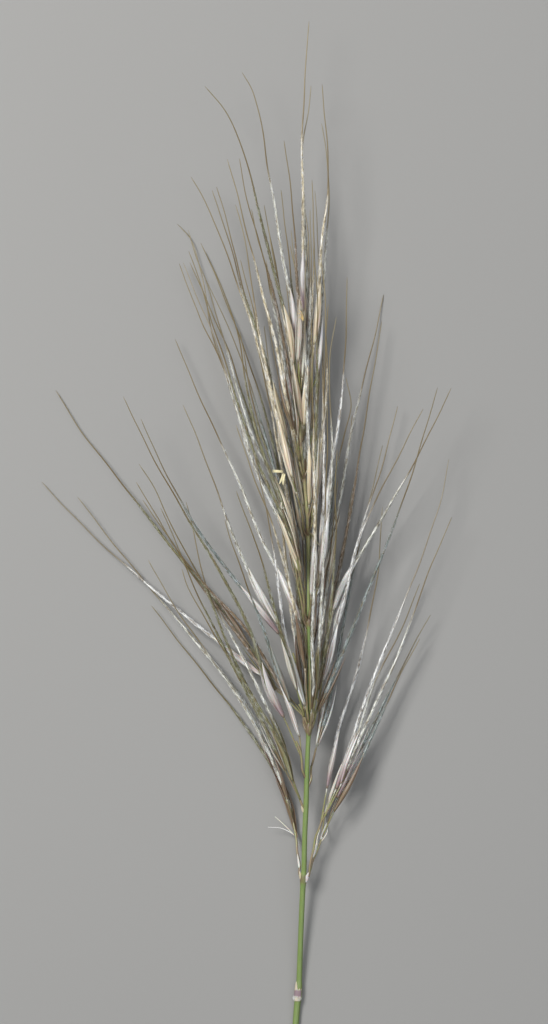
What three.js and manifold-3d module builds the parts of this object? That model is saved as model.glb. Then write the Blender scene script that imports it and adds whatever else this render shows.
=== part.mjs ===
// A cut flowering stem of half-bearded spear-grass (Austrostipa hemipogon), laid down on a surface.
// The stem runs along Y with its cut end at low Y. X is across the panicle and Z is height above the surface.
// The stem and its knots are one solid. Each primary branch with its spikelets is one more.
// A spikelet is a pedicel, two gaping glumes and one long awn, fused where they grow from each other.
import * as THREE from "three";
import { mergeVertices } from "three/addons/utils/BufferGeometryUtils.js";
import Module from "manifold-3d";

const wasm = await Module();
wasm.setup();

// Driving dimensions, in millimetres
const MM_PER_PIXEL = 0.28;
const SEAT_GAP = 0.3;
const CLEAR_GAP = 0.4;
const FLOOR_GAP = 0.25;
const CEILING = 33;
const REST_HEIGHT = 0.2;
const GLUME = {
  length: 18.5,
  thickness: 0.78,
  foot: 0.5,
  widest: 1.35,
  slit: 0.62,
  tipSlit: 0.78,
  sunk: 0.45,
};
const AWN = { pedicel: 0.4, column: 0.43, bristle: 0.4 };
const STALK = { root: 0.42, end: 0.4 };
const PEDICEL_LEAD = 3.5;
const THREAD = { share: 0.55, rise: 0.3 };

// Places along a glume, as shares of its length from its foot
const GLUME_PLACES = { fork: 0.16, slit: 0.28, column: 0.3, widest: 0.42 };

// The share of the awn at which its hairy column ends and its thinner bristle begins
const BRISTLE_FROM = 0.5;

// Radii that are kept clear round each sample of a branch. A spikelet's body swells from its base
// to its widest, and its awn goes on past the share of the glumes' length called end.
const CLEAR_RADIUS = { stalk: 0.4, column: 0.42, base: 0.75, body: 1.3, widestFrom: 0.45, end: 1.05 };

// Colours, roughness and metalness of the two kinds of piece
const STEM_FINISH = { color: 0x7c9658, roughness: 0.55, metalness: 0 };
const SPRAY_FINISH = { color: 0xb9ad8c, roughness: 0.6, metalness: 0 };

// The photograph's point, in pixels, that lies over the origin: the middle of the object's box
const ORIGIN_PIXEL = { column: 246.5, row: 540 };

// The stem from its cut end to its top. The column and row are pixels of the photograph.
// The height of its axis above the surface and its radius are in millimetres.
const STEM = [
  { column: 293.4, row: 1058, height: 0.8, radius: 0.88 },
  { column: 295.6, row: 1028, height: 0.8, radius: 0.88 },
  { column: 297.4, row: 1006, height: 1.0, radius: 0.9 },
  { column: 298.3, row: 997, height: 1.2, radius: 1.05 },
  { column: 298.9, row: 989, height: 1.4, radius: 1.0 },
  { column: 299.3, row: 981, height: 1.65, radius: 0.78 },
  { column: 300.9, row: 935, height: 3.3, radius: 0.75 },
  { column: 302.9, row: 889, height: 5.1, radius: 0.77 },
  { column: 303.5, row: 880, height: 5.45, radius: 0.98 },
  { column: 303.9, row: 872, height: 5.75, radius: 0.74 },
  { column: 304.8, row: 835, height: 7.0, radius: 0.72 },
  { column: 306.0, row: 807, height: 7.9, radius: 0.76 },
  { column: 307.2, row: 765, height: 9.2, radius: 0.66 },
  { column: 308.4, row: 738, height: 9.95, radius: 0.62 },
  { column: 308.9, row: 729, height: 10.15, radius: 0.98 },
  { column: 309.1, row: 718, height: 10.4, radius: 0.6 },
  { column: 309.3, row: 675, height: 11.3, radius: 0.46 },
  { column: 308.8, row: 631, height: 12.0, radius: 0.48 },
  { column: 308.6, row: 622, height: 12.1, radius: 0.82 },
  { column: 308.6, row: 612, height: 12.2, radius: 0.46 },
  { column: 308.4, row: 570, height: 12.5, radius: 0.42 },
  { column: 308.0, row: 531, height: 12.7, radius: 0.62 },
  { column: 307.5, row: 521, height: 12.8, radius: 0.4 },
  { column: 304.2, row: 478, height: 12.9, radius: 0.52 },
  { column: 303.0, row: 468, height: 12.9, radius: 0.36 },
  { column: 300.6, row: 440, height: 13.0, radius: 0.48 },
  { column: 300.0, row: 400, height: 13.1, radius: 0.36 },
  { column: 300.0, row: 352, height: 13.2, radius: 0.34 },
];

// The primary branches. Each leaves the stem at a row of the photograph, on the side given by an
// angle round the stem: 0 is right, 90 is up and towards the viewer, 180 is left, 270 is down.
// The stalk and the awns are lists of pixels [column, row] through which their centre lines pass.
// An awn's list starts at its spikelet's base. The lean is how far, in millimetres, the awns' tips
// stand above or below the height at which the branch leaves the stem.
const BRANCHES = [
  {
    name: "spray_01_base_right",
    root: 881,
    side: 20,
    lean: 4,
    stalk: [[310, 866], [314, 848], [315.5, 838], [320, 827], [324, 812]],
    awns: [
      [[327, 790], [332, 762], [340, 725], [355, 680], [368, 627], [378, 572], [382.5, 507]],
      [[336, 790], [347, 757], [358, 722], [373, 680], [392, 632], [419, 565], [441, 500], [449, 459]],
      [[341, 785], [355, 750], [372, 712], [400, 650], [425, 582], [440, 545], [452, 517]],
    ],
  },
  {
    name: "spray_02_base_right_outer",
    root: 877,
    side: 340,
    lean: -1.5,
    stalk: [[312, 864], [318, 850], [322, 838], [326, 826]],
    awns: [
      [[325, 817], [341, 775], [358, 735], [375, 682], [397, 640], [413, 602], [420, 584]],
      [[337, 799], [352, 768], [380, 712], [400, 672], [424, 627], [431, 615]],
      [[334, 812], [350, 783], [372, 737], [398, 680], [413, 652], [420, 639]],
    ],
  },
  {
    name: "spray_03_base_left",
    root: 879,
    side: 185,
    lean: -1,
    stalk: [[300, 868], [297.3, 853], [296.4, 840], [293, 822], [288, 800]],
    awns: [
      [[296, 834], [288, 803], [272, 768], [240, 720], [208, 679], [183, 648], [162, 620], [151, 606]],
      [[287, 800], [275, 767], [247, 712], [212, 660], [180, 615], [155, 573], [148, 560]],
      [[279, 780], [262, 735], [240, 697], [198, 645], [160, 600], [118, 550], [77, 497]],
    ],
    threads: [[[297, 838], [290, 833], [281, 829], [268, 828]]],
  },
  {
    name: "spray_04_lower_left",
    root: 808,
    side: 170,
    lean: 5,
    stalk: [[300, 799], [295, 788]],
    awns: [
      [[293, 781], [284, 752], [262, 712], [240, 675], [213, 632], [188, 587], [182, 569]],
      [[290, 770], [279, 735], [262, 697], [240, 652], [212, 600], [200, 565], [193, 528], [186, 502]],
      [[286, 772], [272, 743], [254, 702], [230, 650], [203, 583], [175, 533], [155, 489], [139, 464]],
      [[283, 757], [262, 722], [236, 672], [210, 620], [190, 578], [173, 535], [160.5, 508]],
    ],
  },
  {
    name: "spray_05_lower_left_inner",
    root: 776,
    side: 150,
    lean: 12,
    stalk: [[302, 764], [300, 750], [296, 741]],
    awns: [
      [[284, 718], [268, 688], [250, 630], [222, 575], [190, 522], [153, 457], [137, 425], [124, 397]],
      [
        [299.5, 737], [289, 705], [270, 668], [245, 628],
        [210, 590], [183, 558], [153, 510], [136.5, 482],
      ],
    ],
  },
  {
    name: "spray_06_knot_left_low",
    root: 731,
    side: 205,
    lean: -7,
    stalk: [[303, 716], [294, 703], [283, 693]],
    awns: [
      [[262, 676], [226, 648], [190, 620], [142, 580], [100, 543], [62, 505], [41, 482]],
      [[250, 648], [225, 612], [187, 567], [150, 520], [115, 475], [82, 433], [55, 390]],
      [[276, 690], [256, 660], [228, 622], [195, 578], [168, 537], [150, 511], [142.5, 500]],
    ],
  },
  {
    name: "spray_07_knot_left",
    root: 727,
    side: 165,
    lean: 3,
    stalk: [[304, 703], [300, 675], [293, 653]],
    awns: [
      [[279, 634], [260, 610], [225, 567], [195, 525], [168, 477], [150, 440], [141, 419]],
      [[277, 624], [254, 583], [233, 535], [213, 480], [198, 440], [183, 405]],
    ],
  },
  {
    name: "spray_08_knot_left_front",
    root: 725,
    side: 130,
    lean: 13,
    stalk: [[304, 714], [299, 704]],
    awns: [
      [[290, 702], [277, 670], [262, 625], [247, 585], [231, 540], [225, 520]],
      [[297, 690], [286, 650], [270, 592], [258, 548], [243, 510], [236.5, 491]],
    ],
  },
  {
    name: "spray_09_white_left",
    root: 721,
    side: 100,
    lean: 8,
    stalk: [[307.5, 713], [305, 700]],
    awns: [
      [[305, 706], [297, 680], [290, 655], [284, 630], [279, 590], [273, 545], [262, 490], [254, 452]],
      [[305, 668], [299, 630], [289, 585], [276, 535], [255, 480], [236, 425]],
    ],
  },
  {
    name: "spray_10_lower_right",
    root: 785,
    side: 10,
    lean: -5,
    stalk: [[311, 770], [313.5, 760], [316, 749]],
    awns: [
      [[317, 746], [328, 708], [336, 665], [348, 600], [360, 540], [371, 495], [383, 445]],
      [[318, 741], [325, 700], [330, 660], [337, 600], [345, 545], [351, 500], [357, 470]],
    ],
  },
  {
    name: "spray_11_knot_right",
    root: 729,
    side: 25,
    lean: 9,
    stalk: [[314, 722], [318, 705], [321, 690]],
    awns: [
      [[317, 712], [328, 688], [350, 635], [368, 590], [388, 540], [404, 497], [419, 450], [437, 388]],
      [
        [322.5, 682], [333, 640], [346, 592], [357, 545],
        [370, 512], [393, 467], [410, 433], [423, 409],
      ],
      [[333, 611], [345, 580], [361, 553], [388, 508], [410, 470], [432, 428], [451, 388]],
    ],
  },
  {
    name: "spray_12_knot_right_back",
    root: 724,
    side: 335,
    lean: -6,
    stalk: [[314, 705], [318, 680], [322, 655]],
    awns: [
      [[333, 636], [343, 600], [353, 560], [366, 515], [379, 477], [392, 430], [398, 406]],
      [[325, 640], [331, 605], [340, 565], [350, 515], [363, 435], [373, 375], [382, 321]],
    ],
  },
  {
    name: "spray_13_knot_front",
    root: 733,
    side: 75,
    lean: 15,
    stalk: [[311, 722], [313, 708]],
    awns: [
      [[311, 712], [313, 680], [312, 640], [314, 590], [316, 530], [318, 470], [320, 430]],
      [[315, 700], [318, 665], [320, 625], [323, 570], [325, 510], [327, 450], [327, 405]],
      [[318, 690], [324, 655], [330, 615], [334, 565], [336, 520], [335, 485], [337, 450]],
    ],
  },
  {
    name: "spray_14_knot_back",
    root: 728,
    side: 265,
    lean: -7,
    stalk: [[307, 715], [305, 700]],
    awns: [
      [[306, 697], [302, 665], [299, 630], [297, 580], [296, 520], [294, 470], [290, 425]],
      [[303, 692], [297, 650], [291, 610], [286, 565], [281, 520], [277, 470], [270, 430]],
    ],
  },
  {
    name: "spray_15_long_left",
    root: 656,
    side: 160,
    lean: -7,
    stalk: [[306, 644], [303, 628]],
    awns: [
      [[301, 622], [283, 580], [262, 540], [238, 480], [210, 420], [190, 375], [175, 339]],
    ],
  },
  {
    name: "spray_16_middle_left",
    root: 626,
    side: 190,
    lean: -10,
    rests: 0,
    stalk: [[302, 605], [298, 585], [295, 562]],
    awns: [
      [[292, 545], [275, 505], [248, 450], [232, 390], [215, 345], [200, 268], [191, 239], [177, 223]],
      [[294, 552], [279, 515], [251, 455], [235, 400], [214, 337], [197, 297], [187, 272], [183, 262]],
      [[299, 572], [286, 535], [256, 470], [237, 410], [216, 350], [202, 323], [189, 290], [179, 263]],
      [[297, 548], [283, 500], [270, 457], [260, 431], [253.5, 405], [246, 367], [240, 331]],
      [
        [298, 563], [286, 515], [272, 460], [253.5, 396],
        [238, 350], [224, 318], [215, 298], [203, 274],
      ],
    ],
  },
  {
    name: "spray_17_middle_left_front",
    root: 619,
    side: 140,
    lean: 8,
    stalk: [[304, 600], [300, 578], [297, 560]],
    awns: [
      [
        [293, 535], [278, 490], [254, 440], [238, 390],
        [221, 330], [206, 282], [196, 256], [188.5, 231],
      ],
      [[296, 548], [283, 505], [262, 450], [249, 400], [239, 340], [228, 303], [212, 267], [201, 244]],
      [[298, 560], [284, 520], [259, 465], [240, 410], [223, 355], [209, 313], [197, 273], [189, 252]],
      [[300, 568], [286, 522], [265, 460], [246, 405], [230, 355], [216, 322], [203, 292], [190, 263]],
    ],
  },
  {
    name: "spray_18_middle_right",
    root: 624,
    side: 350,
    lean: -10,
    rests: 0,
    stalk: [[313, 605], [317, 590]],
    awns: [
      [[322, 575], [330, 540], [340, 500], [350, 440], [360, 395], [374, 340], [384, 294]],
      [[319, 585], [325, 550], [330, 515], [336, 470], [346, 430], [351, 405], [346, 377]],
      [[325, 597], [331, 560], [337, 520], [343, 482], [348, 450], [351, 430], [352.5, 414]],
    ],
  },
  {
    name: "spray_19_middle_front",
    root: 617,
    side: 80,
    lean: 14,
    stalk: [[311, 605], [314, 590]],
    awns: [
      [[311, 596], [314, 560], [315, 520], [314, 470], [313, 420], [312, 360], [311, 320]],
      [[317, 588], [320, 555], [323, 520], [324, 470], [324, 410], [325, 350], [328, 305]],
      [[320, 575], [325, 540], [329, 505], [332, 460], [331, 420], [329, 365], [336, 318]],
    ],
  },
  {
    name: "spray_20_middle_back",
    root: 629,
    side: 255,
    lean: -8,
    stalk: [[306, 615], [303, 600]],
    awns: [
      [[304, 592], [300, 560], [298, 525], [300, 470], [301, 410], [301, 350], [300, 300]],
      [[300, 588], [293, 550], [287, 510], [282, 470], [277, 420], [270, 370], [264, 325]],
      [
        [305, 592], [297, 550], [279, 470], [266, 416],
        [247, 356], [230.5, 313], [218, 281], [204, 249],
      ],
    ],
  },
  {
    name: "spray_21_upper_left",
    root: 535,
    side: 175,
    lean: 2,
    stalk: [[302, 515], [298, 498], [294, 482]],
    awns: [
      [[290, 470], [282, 435], [272, 400], [252, 325], [236, 280], [217, 228], [200, 192], [191, 177]],
      [[292, 478], [283, 440], [270, 385], [256, 315], [248, 258], [240, 220], [235.5, 205]],
      [[297, 495], [287, 458], [272, 400], [258, 330], [248, 290], [240.5, 260]],
    ],
  },
  {
    name: "spray_22_upper_right",
    root: 529,
    side: 10,
    lean: 4,
    stalk: [[312, 515], [316, 500]],
    awns: [
      [[320, 545], [325, 510], [330, 475], [339, 420], [344, 370], [346.5, 310], [347, 277]],
      [[315, 505], [319, 470], [323, 430], [327, 385], [326, 340], [325, 300], [321.5, 262]],
    ],
  },
  {
    name: "spray_23_upper_front",
    root: 533,
    side: 90,
    lean: 11,
    stalk: [[308, 520], [308, 508]],
    awns: [
      [[309, 505], [309, 470], [308, 430], [306, 380], [305, 330], [305, 285], [308, 240]],
      [[313, 500], [315, 465], [316, 430], [317, 380], [317, 330], [317, 290], [313, 250]],
    ],
  },
  {
    name: "spray_24_upper_back",
    root: 527,
    side: 270,
    lean: -8,
    stalk: [[307, 512], [305, 500]],
    awns: [
      [[304, 496], [300, 460], [297, 425], [294, 385], [291, 340], [288, 300], [285, 262]],
      [[308, 492], [311, 455], [312, 410], [310, 360], [309, 320], [312, 275]],
    ],
  },
  {
    name: "spray_25_high_left",
    root: 481,
    side: 190,
    lean: -3,
    stalk: [[299, 468], [294, 455]],
    awns: [
      [[287, 440], [277, 405], [263, 350], [242, 285], [234, 250], [226, 218], [216.5, 187]],
      [[291, 448], [280, 410], [262, 345], [245, 300], [233, 255], [223, 222], [212, 190]],
    ],
  },
  {
    name: "spray_26_high_front",
    root: 476,
    side: 110,
    lean: 10,
    stalk: [[300, 464], [296, 448]],
    awns: [
      [
        [293, 430], [286, 400], [276, 345], [264, 300],
        [256, 268], [242, 215], [236, 190], [227.5, 161],
      ],
      [[297, 438], [291, 405], [282, 350], [272, 300], [265, 265], [258, 240], [251.5, 210]],
    ],
  },
  {
    name: "spray_27_high_right",
    root: 474,
    side: 0,
    lean: -4,
    stalk: [[308, 460], [310, 445]],
    awns: [
      [[312, 430], [315, 395], [318, 340], [319, 290], [318, 240], [315, 190]],
      [[307, 440], [308, 405], [309, 355], [308, 300], [309, 245], [304, 203]],
    ],
  },
  {
    name: "spray_28_crown_left",
    root: 443,
    side: 165,
    lean: 3,
    stalk: [[297, 430], [295, 415], [294, 400]],
    awns: [
      [[295, 350], [292, 305], [283, 260], [275, 208], [267, 163], [260, 117], [252, 90], [242, 73]],
      [[293, 365], [289, 330], [276, 280], [261, 220], [252, 183], [240, 142], [224, 110], [205, 87]],
      [[293, 395], [287, 360], [275, 300], [260, 245], [250, 212], [243, 180], [239.5, 159]],
    ],
  },
  {
    name: "spray_29_crown_right",
    root: 439,
    side: 15,
    lean: 3,
    stalk: [[305, 425], [309, 405], [311, 380]],
    awns: [
      [[314, 345], [318, 300], [322, 240], [328, 190], [328, 160], [324, 110], [322, 85]],
      [[317, 375], [319, 330], [323, 285], [327, 230], [329, 185], [325, 145], [321.5, 124]],
    ],
  },
  {
    name: "spray_30_crown_top",
    root: 362,
    side: 60,
    lean: 0,
    stalk: [[301, 338], [302.5, 325]],
    awns: [
      [[303, 312], [303, 260], [303, 200], [302, 130], [304.5, 95], [306, 58], [309, 22]],
      [[305, 333], [307, 290], [305, 235], [303, 175], [303, 140], [309, 108], [311, 86]],
    ],
  },
  {
    name: "spray_31_crown_front",
    root: 402,
    side: 85,
    lean: 6,
    stalk: [[300, 388], [299, 374]],
    awns: [
      [[298, 362], [299, 322], [297, 280], [294, 225], [290, 185], [284, 142]],
      [[302, 378], [303, 340], [301, 305], [296, 275], [290, 246]],
    ],
  },
];

// How the depths are settled. Where two branches would touch, the awns bend away from each other.
const DEPTH_STEPS = 600;
const DEPTH_RATE = 1.4;
const STIFFNESS = 0.8;
const STEEPEST = 0.75;
const SAMPLE_SPACING = 1.8;
const SAME_BRANCH_SHARE = 1.04;
const LEAN_POWER = 1.15;
const SPREAD = { tip: 3, base: 0.25 };
const SEED = 23;

// Facets
const NEEDLE_SIDES = 3;
const STEM_SIDES = 8;
const AWN_STEPS = 6;
const STALK_STEPS = 3;
const CURVE_DIVISIONS = 20;
const SLIVER = 0.03;

// The box that cuts away what reaches below the surface, in millimetres
const CUT_BOX = { width: 400, length: 600, depth: 20 };

// A small seeded generator of even numbers from 0 to 1.
function seeded(seed) {
  let state = seed >>> 0;
  return () => {
    state = (Math.imul(state, 1664525) + 1013904223) >>> 0;
    return state / 4294967296;
  };
}

// A pixel of the photograph as a point over the surface, in millimetres.
function placed([column, row], height = 0) {
  const x = (column - ORIGIN_PIXEL.column) * MM_PER_PIXEL;
  const y = (ORIGIN_PIXEL.row - row) * MM_PER_PIXEL;
  return new THREE.Vector3(x, y, height);
}

// A smooth curve through points, as evenly spaced points.
function spaced(points, spacing) {
  const curve = new THREE.CatmullRomCurve3(points, false, "centripetal");
  const length = curve.getLength();
  const count = Math.max(2, Math.round(length / spacing));
  return { length, points: curve.getSpacedPoints(count) };
}

// The stem's axis point and radius at a row of the photograph.
function stemAt(row) {
  const above = STEM.findIndex((ring) => ring.row <= row);
  const next = above < 0 ? STEM.length - 1 : Math.max(1, above);
  const [low, high] = [STEM[next - 1], STEM[next]];
  const share = THREE.MathUtils.clamp((row - low.row) / (high.row - low.row), 0, 1);
  const mix = (key) => THREE.MathUtils.lerp(low[key], high[key], share);
  return { point: placed([mix("column"), row], mix("height")), radius: mix("radius") };
}

// The weights of a cubic curve's four heights at a share of its length.
function cubicWeights(t) {
  const s = 1 - t;
  return [s * s * s, 3 * s * s * t, 3 * s * t * t, t * t * t];
}

// Where a branch leaves the stem: clear of its surface by the seat gap.
function rootPoint(branch) {
  const { point, radius } = stemAt(branch.root);
  const reach = radius + SEAT_GAP + STALK.root;
  const angle = THREE.MathUtils.degToRad(branch.side);
  return point.add(new THREE.Vector3(reach * Math.cos(angle), 0, reach * Math.sin(angle)));
}

// The point of a line of points nearest to a place, then moved back by a lead, as an index.
function leavingIndex(points, place, lead) {
  let best = 0;
  points.forEach((point, index) => {
    const near = Math.hypot(point.x - place.x, point.y - place.y);
    const least = Math.hypot(points[best].x - place.x, points[best].y - place.y);
    if (near < least) best = index;
  });
  let back = 0;
  while (best > 0 && back < lead) {
    back += points[best].distanceTo(points[best - 1]);
    best -= 1;
  }
  return best;
}

// The layout of one branch: flat lines for its stalk, pedicels, awns and threads, and the heights
// that stay to be settled, as numbered unknowns.
function layOut(branch, unknowns, random) {
  const root = rootPoint(branch);
  const flatRoot = new THREE.Vector3(root.x, root.y, 0);
  const stalk = spaced([flatRoot, ...branch.stalk.map((pixel) => placed(pixel))], SAMPLE_SPACING);
  const flatLine = (pixels) => pixels.map((pixel) => placed(pixel));
  const lines = branch.awns.map((pixels) => spaced(flatLine(pixels), SAMPLE_SPACING));
  const farthest = Math.max(...lines.map((line) => line.length)) + stalk.length;
  const rise = (distance) => root.z + branch.lean * Math.pow(distance / farthest, LEAN_POWER);
  const stalkEnd = unknowns.length;
  unknowns.push(rise(stalk.length));
  const laid = { ...branch, root, stalk, stalkEnd, spikelets: [] };
  for (const line of lines) {
    const base = line.points[0];
    const place = leavingIndex(stalk.points, base, PEDICEL_LEAD);
    const start = stalk.length + base.distanceTo(stalk.points.at(-1));
    const offset = SPREAD.tip * (2 * random() - 1);
    const first = unknowns.length;
    for (let k = 0; k < 4; k += 1) {
      const along = k / 3;
      const spread = offset * THREE.MathUtils.lerp(SPREAD.base, 1, along);
      unknowns.push(rise(start + along * line.length) + spread);
    }
    const pedicel = stalk.points[place].distanceTo(base);
    laid.spikelets.push({ line, place, first, pedicel, share: place / (stalk.points.length - 1) });
  }
  return laid;
}

// The radius kept clear round a spikelet at a distance along it from its base.
function clearRadius(distance) {
  const share = distance / GLUME.length;
  if (share >= CLEAR_RADIUS.end) return CLEAR_RADIUS.column;
  const swelling = Math.min(1, share / CLEAR_RADIUS.widestFrom);
  return THREE.MathUtils.lerp(CLEAR_RADIUS.base, CLEAR_RADIUS.body, swelling);
}

// Every sample of a laid-out branch, for keeping clear: place, radius and how its height depends
// on the unknowns.
function samplesOf(laid, number) {
  const samples = [];
  const { root, stalk, stalkEnd, spikelets } = laid;
  const last = stalk.points.length - 1;
  const onStalk = { radius: CLEAR_RADIUS.stalk, kind: "stalk" };
  stalk.points.forEach((point, index) => {
    const t = index / last;
    const terms = [[stalkEnd, t]];
    samples.push({ ...onStalk, point, terms, fixed: root.z * (1 - t), strand: `${number}` });
  });
  spikelets.forEach((spikelet, order) => {
    const strand = `${number}.${order}`;
    const from = stalk.points[spikelet.place];
    const base = spikelet.line.points[0];
    const steps = Math.max(1, Math.round(from.distanceTo(base) / SAMPLE_SPACING));
    for (let step = 1; step < steps; step += 1) {
      const u = step / steps;
      const terms = [[stalkEnd, spikelet.share * (1 - u)], [spikelet.first, u]];
      const fixed = root.z * (1 - spikelet.share) * (1 - u);
      const point = from.clone().lerp(base, u);
      samples.push({ ...onStalk, point, terms, fixed, strand });
    }
    const count = spikelet.line.points.length - 1;
    spikelet.line.points.forEach((point, index) => {
      const t = index / count;
      const radius = clearRadius(t * spikelet.line.length);
      const terms = cubicWeights(t).map((weight, k) => [spikelet.first + k, weight]);
      samples.push({ point, radius, terms, fixed: 0, strand, kind: "awn" });
    });
  });
  return samples.map((sample) => ({ ...sample, branch: number }));
}

const heightOf = (sample, unknowns) =>
  sample.terms.reduce((sum, [index, weight]) => sum + weight * unknowns[index], sample.fixed);

// Settles the unknown heights: samples of different strands that lie near each other in plan are
// moved apart in height, in the order that they start in, and all stay between surface and ceiling.
function settle(branches, unknowns) {
  const samples = branches.flatMap((laid, number) => samplesOf(laid, number));
  const stem = spaced(STEM.map((ring) => placed([ring.column, ring.row], ring.height)), SAMPLE_SPACING);
  for (const point of stem.points) {
    const row = ORIGIN_PIXEL.row - point.y / MM_PER_PIXEL;
    const { radius } = stemAt(row);
    samples.push({ point, radius, terms: [], fixed: point.z, strand: "stem", kind: "stem", branch: -1 });
  }
  const start = samples.map((sample) => heightOf(sample, unknowns));
  const pairs = [];
  const lead = new Map();
  samples.forEach((a, i) => {
    for (let j = i + 1; j < samples.length; j += 1) {
      const b = samples[j];
      if (a.strand === b.strand) continue;
      const same = a.branch === b.branch;
      if (same && (a.kind !== "awn" || b.kind !== "awn")) continue;
      const clear = same ? (a.radius + b.radius) * SAME_BRANCH_SHARE : a.radius + b.radius + CLEAR_GAP;
      const flat = Math.hypot(a.point.x - b.point.x, a.point.y - b.point.y);
      if (flat >= clear) continue;
      const key = `${a.strand}|${b.strand}`;
      lead.set(key, (lead.get(key) ?? 0) + start[i] - start[j]);
      pairs.push({ i, j, key, rise: Math.sqrt(clear * clear - flat * flat) });
    }
  });
  const held = new Set();
  for (const laid of branches) {
    if (laid.rests === undefined) continue;
    const tip = laid.spikelets[laid.rests].first + 3;
    unknowns[tip] = REST_HEIGHT;
    held.add(tip);
  }
  for (let step = 0; step < DEPTH_STEPS; step += 1) {
    const heights = samples.map((sample) => heightOf(sample, unknowns));
    const moved = new Float64Array(unknowns.length);
    const share = new Float64Array(unknowns.length);
    const push = (terms, amount, total) => {
      for (const [index, weight] of terms) {
        moved[index] += (amount * weight * weight) / total;
        share[index] += weight;
      }
    };
    for (const { i, j, key, rise } of pairs) {
      const sign = lead.get(key) >= 0 ? 1 : -1;
      const lack = rise - sign * (heights[i] - heights[j]);
      if (lack <= 0) continue;
      const terms = [...samples[i].terms, ...samples[j].terms];
      const total = terms.reduce((sum, [, weight]) => sum + weight * weight, 0);
      if (total === 0) continue;
      push(samples[i].terms, sign * lack, total);
      push(samples[j].terms, -sign * lack, total);
    }
    samples.forEach((sample, index) => {
      const total = sample.terms.reduce((sum, [, weight]) => sum + weight * weight, 0);
      if (total === 0) return;
      const low = sample.radius + FLOOR_GAP - heights[index];
      const high = CEILING - sample.radius - heights[index];
      if (low > 0) push(sample.terms, low, total);
      if (high < 0) push(sample.terms, high, total);
    });
    for (const laid of branches) {
      const rise = unknowns[laid.stalkEnd] - laid.root.z;
      const most = STEEPEST * laid.stalk.length;
      if (Math.abs(rise) > most) push([[laid.stalkEnd, 1]], Math.sign(rise) * most - rise, 1);
      for (const { first, pedicel, share: leaves } of laid.spikelets) {
        const from = THREE.MathUtils.lerp(laid.root.z, unknowns[laid.stalkEnd], leaves);
        const climb = unknowns[first] - from;
        const limit = STEEPEST * pedicel;
        if (Math.abs(climb) > limit) {
          const back = Math.sign(climb) * limit - climb;
          push([[first, 1]], back, 1);
          push([[laid.stalkEnd, leaves]], -back * leaves, leaves);
        }
      }
    }
    const ease = STIFFNESS * (1 - step / DEPTH_STEPS);
    for (const { first } of branches.flatMap((laid) => laid.spikelets)) {
      const [a, b, c, d] = unknowns.slice(first, first + 4);
      push([[first, 1]], ease * (2 * b - c - a), 1);
      push([[first + 1, 1]], ease * ((a + c) / 2 - b), 1);
      push([[first + 2, 1]], ease * ((b + d) / 2 - c), 1);
    }
    for (let index = 0; index < unknowns.length; index += 1) {
      if (share[index] > 0 && !held.has(index)) {
        unknowns[index] += (DEPTH_RATE * moved[index]) / share[index];
      }
    }
  }
}

// The directions at a share of a curve's length: along it, to its side and over it.
function frameAt(curve, share) {
  const along = curve.getTangentAt(share);
  const side = new THREE.Vector3().crossVectors(along, new THREE.Vector3(0, 0, 1)).normalize();
  const over = new THREE.Vector3().crossVectors(side, along);
  return { point: curve.getPointAt(share), side, over };
}

// Lays a geometry that stands along Y, from 0 to 1, on a curve. X goes to the curve's side and Z
// over it, both turned by the roll.
function laidAlong(geometry, curve, shareOf, roll = 0) {
  const position = geometry.getAttribute("position");
  for (let index = 0; index < position.count; index += 1) {
    const { point, side, over } = frameAt(curve, shareOf(position.getY(index)));
    const across = position.getX(index) * Math.cos(roll) - position.getZ(index) * Math.sin(roll);
    const lift = position.getX(index) * Math.sin(roll) + position.getZ(index) * Math.cos(roll);
    point.addScaledVector(side, across).addScaledVector(over, lift);
    position.setXYZ(index, point.x, point.y, point.z);
  }
  return geometry;
}

// A closed rod along a smooth curve, with one ring at each station. A station is a share of the
// curve's length with the rod's radius there.
function rod(curve, stations, sides, roll = 0) {
  const steps = stations.length - 1;
  const geometry = new THREE.CylinderGeometry(1, 1, 1, sides, steps);
  geometry.translate(0, 0.5, 0);
  const position = geometry.getAttribute("position");
  for (let index = 0; index < position.count; index += 1) {
    const ring = Math.round(position.getY(index) * steps);
    const { share, radius } = stations[ring];
    position.setXYZ(index, position.getX(index) * radius, share, position.getZ(index) * radius);
  }
  return laidAlong(geometry, curve, (share) => share, roll);
}

// A geometry as a solid that can be joined.
function solid(geometry) {
  geometry.deleteAttribute("normal");
  geometry.deleteAttribute("uv");
  const merged = mergeVertices(geometry, 1e-4);
  const made = new wasm.Manifold(
    new wasm.Mesh({
      numProp: 3,
      vertProperties: new Float32Array(merged.getAttribute("position").array),
      triVerts: new Uint32Array(merged.index.array),
    }),
  );
  if (made.volume() >= 0) return made;
  const turned = new Uint32Array(merged.index.array);
  for (let index = 0; index < turned.length; index += 3) {
    [turned[index + 1], turned[index + 2]] = [turned[index + 2], turned[index + 1]];
  }
  return new wasm.Manifold(
    new wasm.Mesh({
      numProp: 3,
      vertProperties: new Float32Array(merged.getAttribute("position").array),
      triVerts: turned,
    }),
  );
}

// The largest shell of a joined solid, which leaves out any hollow that the joining sealed, without
// the slivers that joining leaves along its seams.
function filled(manifold) {
  const shells = manifold.simplify(SLIVER).decompose();
  return shells.reduce((most, part) => (part.volume() > most.volume() ? part : most));
}

// A joined solid as a named mesh.
function meshOf(name, manifold, finish) {
  const { vertProperties, triVerts } = filled(manifold).getMesh();
  const geometry = new THREE.BufferGeometry();
  geometry.setAttribute("position", new THREE.BufferAttribute(new Float32Array(vertProperties), 3));
  geometry.setIndex(new THREE.BufferAttribute(new Uint32Array(triVerts), 1));
  geometry.computeVertexNormals();
  const mesh = new THREE.Mesh(geometry, new THREE.MeshStandardMaterial(finish));
  mesh.name = name;
  return mesh;
}

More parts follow.
